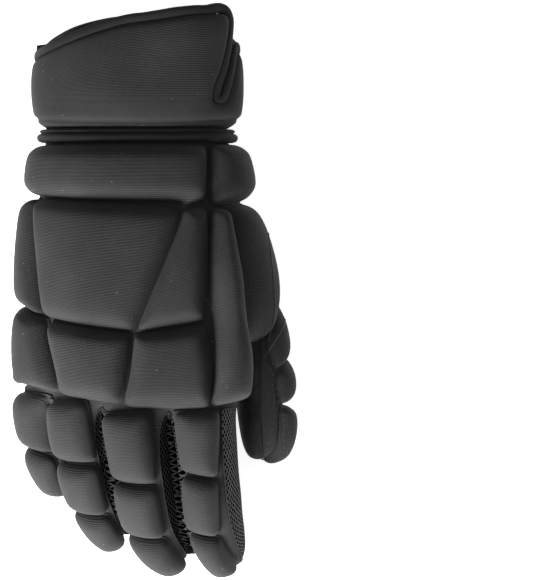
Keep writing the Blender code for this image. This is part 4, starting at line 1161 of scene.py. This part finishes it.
def buildCuff():
    setback = binding["width"] - cuff["lap"]
    slotHalf = cuff["slotGap"] / 2 + setback
    slotBottom = edgeBySlot(-1) - cuff["slotDepth"] - cuff["slotLap"]
    tape = treeOf([cuffPoint(turn, 0, y) for turn, y in tapeSpots()[0]])
    edgeTurn = slotTurn(slotBottom)
    left, right = cuffStep(edgeTurn, slotHalf), cuffStep(edgeTurn, -slotHalf) + 360
    total = cuff["columns"] + cuff["slotColumns"]
    start = cuffStart + cuff["gap"]
    fold, bow, waver, foldDeep, foldWide = cuff["fold"]
    low, high = cuff["slotRows"], cuff["rows"]

    def spot(u, v, inside):
        n, r = round(u * total), round(v * cuff["rows"])
        if n <= cuff["columns"]:
            turn = left + (right - left) * n / cuff["columns"]
        else:
            turn = right + (left + 360 - right) * (n - cuff["columns"]) / cuff["slotColumns"]
        if r <= low:
            y = start + (slotBottom - start) * (r / low) ** 1.3
        else:
            steps = min(n, cuff["columns"] - n)
            near = max(0, 1 - steps / 18)
            flap = 1 if n < cuff["columns"] / 2 else -1
            topTurn = turn + (slotTurn(edgeBySlot(flap) - setback) - edgeTurn) * near
            top = cuffEdgeY(cuffStep(topTurn, flap * setback * max(0, 1 - steps / 6))) - setback
            for steps, radius in ((n, cuff["corners"][1]), (cuff["columns"] - n, cuff["corners"][0])):
                away = max(steps, 0) * (right - left) / cuff["columns"] * 0.85 * mm
                if away < radius:
                    top -= (radius - math.sqrt(radius**2 - (radius - away) ** 2)) * 0.75
            y = slotBottom + (top - slotBottom) * (r - low) / (high - low)
            turn += (slotTurn(y) - edgeTurn) * near
        inset = max(0, tape.find(cuffPoint(turn, 0, y))[2] - binding["width"] / 2 + cuff["lap"])
        fromStart = min((y - start) / cuff["taper"], 1)
        fromEdge = 1 - max(0, 1 - inset / cuff["shoulder"])
        if inside:
            return cuffPoint(turn, -cuff["wall"] * (0.94 - 0.08 * (1 - fromEdge)), y)
        out = -cuff["wall"] * 0.72 * (1 - math.sqrt(1 - (1 - fromStart) ** 2))
        out -= cuff["waist"] * max(0, 1 - (y - start) / cuff["waistReach"]) ** 2
        out += cuff["pillow"] * (1 - (1 - min(inset / cuff["pillowReach"], 1)) ** 2) * min(fromStart * 2, 1)
        out -= cuff["tuck"] * (1 - math.sqrt(1 - (1 - fromEdge) ** 2))
        line = start + fold + bow * math.sin(math.radians(turn * 2 - 90))
        line += waver * noise.noise(cuffPoint(turn, 0, start) * 60.0)
        out -= foldDeep * math.exp(-(((y - line) / foldWide) ** 2))
        flat = cuffPoint(turn, 0, y)
        if flat.z > cuff["floor"] + 2 * mm:
            out += cuff["ripple"] * noise.noise(flat * 42.0) * fromEdge
            out += 0.5 * mm * noise.noise(Vector((flat.x * 26, flat.y * 240, flat.z * 26))) * (1 - fromStart)
        return cuffPoint(turn, out, y)

    girth = 2.7 * cuff["width"]

    def mark(u, v):
        return u * girth, v * cuff["length"]

    skins = []
    for inside in (False, True):
        bm = wrapped(total, high, lambda u, v: spot(u, v, inside), mark)
        slotFaces = [f for n, f in enumerate(bm.faces) if n % total >= cuff["columns"] and n // total >= low]
        bmesh.ops.delete(bm, geom=slotFaces, context="FACES")
        bmesh.ops.remove_doubles(bm, verts=bm.verts, dist=0.01 * mm)
        skins.append(bm)
    bm = pour(meshOf(skins[1], "spare"), skins[0])
    skins[1].free()
    wristRim = [e for e in bm.edges if e.is_boundary and max(v.co.y for v in e.verts) < start + 0.5 * mm]
    bmesh.ops.bridge_loops(bm, edges=wristRim)
    bmesh.ops.bridge_loops(bm, edges=[e for e in bm.edges if e.is_boundary])
    bmesh.ops.recalc_face_normals(bm, faces=bm.faces)
    dressed(bm, "cuff_padding", "neoprene", "neoprene", ("cuff",))


def buildBinding():
    spots, total = tapeSpots()
    points = [cuffPoint(turn, -cuff["wall"] / 2, y) for turn, y in spots]
    count = len(points)
    frames = []
    for n, (turn, y) in enumerate(spots):
        out = (cuffPoint(turn, 0, y) - cuffPoint(turn, -cuff["wall"], y)).normalized()
        along = (points[(n + 1) % count] - points[n - 1]).normalized()
        frames.append((points[n], out, along.cross(out).normalized()))
    w, h = binding["width"] / 2, binding["thickness"] / 2
    section = (
        (-1, 0.0), (-0.97, 0.5), (-0.86, 0.82), (-0.6, 0.97), (-0.1, 1.0), (0.4, 0.96), (0.72, 0.84),
        (0.9, 0.6), (1.0, 0.3), (1.0, -0.3), (0.9, -0.6), (0.7, -0.85), (0.3, -0.95), (-0.3, -0.95),
        (-0.75, -0.9), (-0.95, -0.6),
    )

    def place(u, v):
        n = round(u * count) % count
        side, up = section[round(v * len(section)) % len(section)]
        point, out, across = frames[n]
        pull = 1 + 0.05 * noise.noise(point * 150.0)
        return point + across * side * w * pull + out * up * h * pull

    bm = wrapped(count, len(section), place, lambda u, v: (v * 20 * mm, u * total))
    dressed(closedUp(bm), "cuff_binding_tape", "binding", "binding", ("cuff_binding",))


buildRoll()
buildCuff()
buildBinding()
print("wrist roll, cuff and binding")

# Closure under the cuff: loop panel, strap and blank label
closure = {
    "loop": (1.3 * mm, 30 * mm), "strap": (1.1 * mm, 26 * mm), "label": (0.7 * mm, *labelFace["size"]),
    "loopTurns": (201, 348), "strapTurns": (250, 336), "labelInset": 7 * mm,
    # middle of the strap as a share of the cuff's length at this turn, and how far it drops over 100 degrees
    "strapMiddle": 0.585, "strapMiddleTurn": 253, "strapDrop": 0.12,
}


def buildLayer(turns, span, lift, thickness, cells, bumps):
    # a flat piece lying round the cuff, with soft edges
    def spot(u, v, top):
        turn = turns[0] + (turns[1] - turns[0]) * u
        low, high = span(turn)
        y = low + (high - low) * v
        fromEnd = min(u, 1 - u) * (turns[1] - turns[0]) * 0.9 * mm
        edge = min(fromEnd, min(v, 1 - v) * (high - low)) / (1.2 * mm)
        ruffle = bumps * noise.noise(cuffPoint(turn, 0, y) * 300.0) * min(edge, 1)
        rise = (lift + thickness * (1 - 0.4 * max(0, 1 - edge) ** 2) + min(ruffle, 0)) if top else lift
        return cuffPoint(turn, rise, y)

    def mark(u, v):
        return v * 26 * mm, u * (turns[1] - turns[0]) * 0.85 * mm

    bm = wrapped(*cells, lambda u, v: spot(u, v, True), mark)
    under = wrapped(*cells, lambda u, v: spot(u, v, False), mark)
    pour(meshOf(under, "spare"), bm)
    under.free()
    bmesh.ops.bridge_loops(bm, edges=[e for e in bm.edges if e.is_boundary])
    bmesh.ops.recalc_face_normals(bm, faces=bm.faces)
    return bm


def loopSpan(turn):
    start = cuffStart + cuff["taper"]
    return start, min(start + closure["loop"][1], cuffEdgeY(turn) - binding["width"] - 2 * mm)


def strapSpan(turn, width=closure["strap"][1]):
    drop = closure["strapDrop"] * (turn - closure["strapMiddleTurn"]) / 100
    middle = cuffStart + cuff["length"] * (closure["strapMiddle"] - drop)
    return middle - width / 2, middle + width / 2


def labelSpan(turn):
    return strapSpan(turn, closure["label"][2])


labelStart = cuffStep(closure["strapTurns"][0], closure["labelInset"])
labelEnd = labelStart
while (cuffPoint(labelEnd, 0, 0) - cuffPoint(labelStart, 0, 0)).length < closure["label"][1]:
    labelEnd += 0.25
# look, slot, node, turns, span, thickness, cells and bumps of each layer, from the cuff outwards
loopThick, strapThick, labelThick = closure["loop"][0], closure["strap"][0], closure["label"][0]
labelTurns = (labelStart, labelEnd)
layers = {
    "loop_panel_pile": (
        "pile", "loop_pile", "loop_panel", closure["loopTurns"], loopSpan, loopThick, (150, 40), 0.5 * mm,
    ),
    "strap_web": (
        "strap", "strap_web", "strap", closure["strapTurns"], strapSpan, strapThick, (110, 34), 0.15 * mm,
    ),
    "label_patch": ("label", "label_face", "label", labelTurns, labelSpan, labelThick, (60, 30), 0.05 * mm),
}
lift, tops = cuff["gap"], []
for name, (look, slot, node, turns, span, thickness, cells, bumps) in layers.items():
    dressed(buildLayer(turns, span, lift, thickness, cells, bumps), name, look, slot, (node,))
    tops.append(lift + thickness)
    lift += thickness + cuff["gap"]
print("loop panel, strap and label")


# Seams and stitches
seams = {"rope": 0.42 * mm, "piping": 0.3 * mm, "stitch": 2.3 * mm, "gap": 1.0 * mm, "thread": 0.28 * mm}


def rope(name, paths, radius, look, slot):
    # thin cords that follow sewn edges
    curve = bpy.data.curves.new(name, "CURVE")
    curve.dimensions = "3D"
    curve.bevel_depth = radius
    curve.bevel_resolution = 1
    for points, closed in paths:
        spline = curve.splines.new("POLY")
        spline.points.add(len(points) - 1)
        for knot, point in zip(spline.points, points):
            knot.co = (*point, 1)
        spline.use_cyclic_u = closed
    carrier = placed(name, curve)
    bm = pour(finished(carrier), bmesh.new())
    bpy.data.objects.remove(carrier)
    bmesh.ops.recalc_face_normals(bm, faces=bm.faces)
    dressed(bm, name, look, slot)


def chains(edges):
    # runs of joined edges as lists of vertices
    left = set(edges)
    runs = []
    while left:
        edge = left.pop()
        run = [edge.verts[0], edge.verts[1]]
        for end in (1, 0):
            while True:
                tip = run[-1] if end else run[0]
                onward = [e for e in tip.link_edges if e in left]
                if len(onward) != 1:
                    break
                left.remove(onward[0])
                other = onward[0].other_vert(tip)
                run = run + [other] if end else [other] + run
        runs.append(run)
    return runs


def panelSeams():
    # piping wherever two panels of the hand meet
    paths = []
    border = [
        e for e in base.edges
        if len(e.link_faces) == 2 and e.link_faces[0].material_index != e.link_faces[1].material_index
    ]
    for run in chains(border):
        closed = run[0] is run[-1]
        if closed:
            run = run[:-1]
        points = [v.co + v.normal * seams["rope"] * 0.25 for v in run]
        if len(points) > 3:
            paths.append((points, closed))
    rope("panel_piping", paths, seams["rope"], "thread", "suede")


def stitchRun(name, runs, look, slot):
    # short stitches along runs of (point, outward)
    bm = bmesh.new()
    for run in runs:
        gone, due = 0.0, 0.0
        for (a, out), (b, _) in zip(run, run[1:]):
            step = (b - a).length
            while due < gone + step:
                along = (b - a).normalized()
                side = along.cross(out).normalized()
                spot = a + along * (due - gone)
                made = bmesh.ops.create_uvsphere(bm, u_segments=6, v_segments=4, radius=1)
                for vert in made["verts"]:
                    x, y, z = vert.co
                    vert.co = spot + along * z * seams["stitch"] / 2 + side * x * seams["thread"]
                    vert.co += out * (y * seams["thread"] + 0.05 * mm)
                due += seams["stitch"] + seams["gap"]
            gone += step
    bmesh.ops.recalc_face_normals(bm, faces=bm.faces)
    dressed(bm, name, look, slot)


panelSeams()

# Lines sewn on the thumb, seen from above as (x, y) in mm
thumbLines = {
    "piping": (
        ((54.8, 33.5), (56.8, 17.0), (58.4, -1.0), (58.0, -12.0), (55.6, -23.0)),
        ((63.2, -2.5), (63.6, -12.0), (60.4, -20.0), (53.4, -31.0)),
    ),
    "seams": (
        ((54.2, -33.5), (57.8, -39.5), (60.4, -52.0), (62.8, -58.5), (63.2, -79.0)),
        ((58.0, -45.5), (58.4, -58.5), (56.8, -66.5), (53.6, -77.0)),
    ),
}


def drawnRuns(lines, names, step=0.5 * mm):
    # each line laid on the pieces under it, as runs of (point, outward)
    under = bmesh.new()
    for name in names:
        pour(finished(bpy.data.objects[name]), under)
    tree = BVHTree.FromBMesh(under)
    under.free()
    runs = []
    for line in lines:
        spots = [Vector((x * mm, y * mm, 0)) for x, y in line]
        marks = list(range(len(spots)))
        count = round(sum((b - a).length for a, b in zip(spots, spots[1:])) / step)
        run = []
        for n in range(count + 1):
            spot = smoothPoint(marks, spots, marks[-1] * n / count)
            hit, normal, _, _ = tree.ray_cast(Vector((spot.x, spot.y, 0.2)), Vector((0, 0, -1)))
            if hit is not None:
                run.append((hit, normal if normal.z > 0 else -normal))
        runs.append(run)
    return runs


thumbPieces = ["thumb_side_plate_foam", "thumb_palm_cloth", "back_shell_cloth"]
thumbPieces += ["thumb_pad_%d_foam" % n for n in (1, 2, 3, 4)]
piping = drawnRuns(thumbLines["piping"], thumbPieces)
cords = [([spot + out * 0.1 * mm for spot, out in run], False) for run in piping]
rope("thumb_piping", cords, seams["piping"], "piping", "knit")
stitchRun("thumb_stitches", drawnRuns(thumbLines["seams"], thumbPieces), "seamThread", "suede")


def layerRun(turns, span, lift, inset, count=80):
    # round the border of a layer, a little inside its edge
    turnInset = inset / (0.9 * mm)
    first, last = turns[0] + turnInset, turns[1] - turnInset
    corners = [(first, 0), (last, 0), (last, 1), (first, 1)]
    run = []
    for (turn, end), (nextTurn, nextEnd) in zip(corners, corners[1:] + corners[:1]):
        for n in range(count):
            t = n / count
            at, share = turn + (nextTurn - turn) * t, end + (nextEnd - end) * t
            low, high = span(at)
            y = low + inset + (high - low - 2 * inset) * share
            point = cuffPoint(at, lift, y)
            run.append((point, (point - cuffPoint(at, lift - 3 * mm, y)).normalized()))
    return run + run[:1]


# stitches round each layer: its turns and span, their height and distance from its edge, thread and slot
stitches = {
    "label_stitches": (labelTurns, labelSpan, tops[2] - 0.25 * mm, 1.3 * mm, "paleThread", "label_face"),
    "strap_stitches": (closure["strapTurns"], strapSpan, tops[1], 1.6 * mm, "thread", "strap_web"),
    "loop_stitches": (closure["loopTurns"], loopSpan, tops[0], 1.6 * mm, "thread", "loop_pile"),
}
for name, (turns, span, top, inset, look, slot) in stitches.items():
    stitchRun(name, [layerRun(turns, span, top, inset)], look, slot)
print("piping and stitches")

# Floor, light and camera: the view is straight down, framed as in the picture
studio = {
    "pixel": 0.48 * mm, "frame": (533, 580), "middle": (153, 291.8), "shiftY": 0.8 * mm, "distance": 3.2,
    "level": 30 * mm, "floor": 0.9, "glow": 0.85, "world": 0.2,
}
bm = bmesh.new()
bmesh.ops.create_grid(bm, x_segments=1, y_segments=1, size=3)
floor = placed("floor", meshOf(bm, "floor"))
bm.free()
floor.location.z = -0.2 * mm
floorPaint = Paint("floor", 0.9)
floorPaint.shader.inputs["Base Color"].default_value = (*grey(studio["floor"]), 1)
floorPaint.shader.inputs["Emission Color"].default_value = (1, 1, 1, 1)
floorPaint.shader.inputs["Emission Strength"].default_value = studio["glow"]
floor.data.materials.append(floorPaint.material)

world = bpy.data.worlds.new("studio")
world.use_nodes = True
sky = world.node_tree.nodes["Background"]
sky.inputs["Color"].default_value = (1, 1, 1, 1)
sky.inputs["Strength"].default_value = studio["world"]
bpy.context.scene.world = world
bpy.context.scene.view_settings.view_transform = "Standard"

# position, size and watts; both face the glove
lamps = {
    "key": ((-0.36, -0.60, 0.36), 0.40, 16.5),
    "top": ((0.1, 0.2, 1.5), 1.0, 3.0),
}
for name, (spot, size, power) in lamps.items():
    lamp = bpy.data.lights.new(name, "AREA")
    lamp.size = size
    lamp.energy = power
    light = placed(name, lamp)
    light.location = spot
    light.rotation_mode = "QUATERNION"
    light.rotation_quaternion = (-Vector(spot)).to_track_quat("-Z", "Y")

camera = bpy.data.cameras.new("camera")
camera.sensor_fit = "AUTO"
camera.sensor_width = 36
tall = studio["frame"][1] * studio["pixel"]
camera.lens = camera.sensor_width * studio["distance"] / tall
viewer = placed("camera", camera)
centreX = (studio["frame"][0] / 2 - studio["middle"][0]) * studio["pixel"]
centreY = (studio["middle"][1] - studio["frame"][1] / 2) * studio["pixel"] + studio["shiftY"]
viewer.location = (centreX, centreY, studio["distance"] + studio["level"])
camera.clip_start, camera.clip_end = 0.01, 20
bpy.context.scene.camera = viewer
print("studio")

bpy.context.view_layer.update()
base.free()
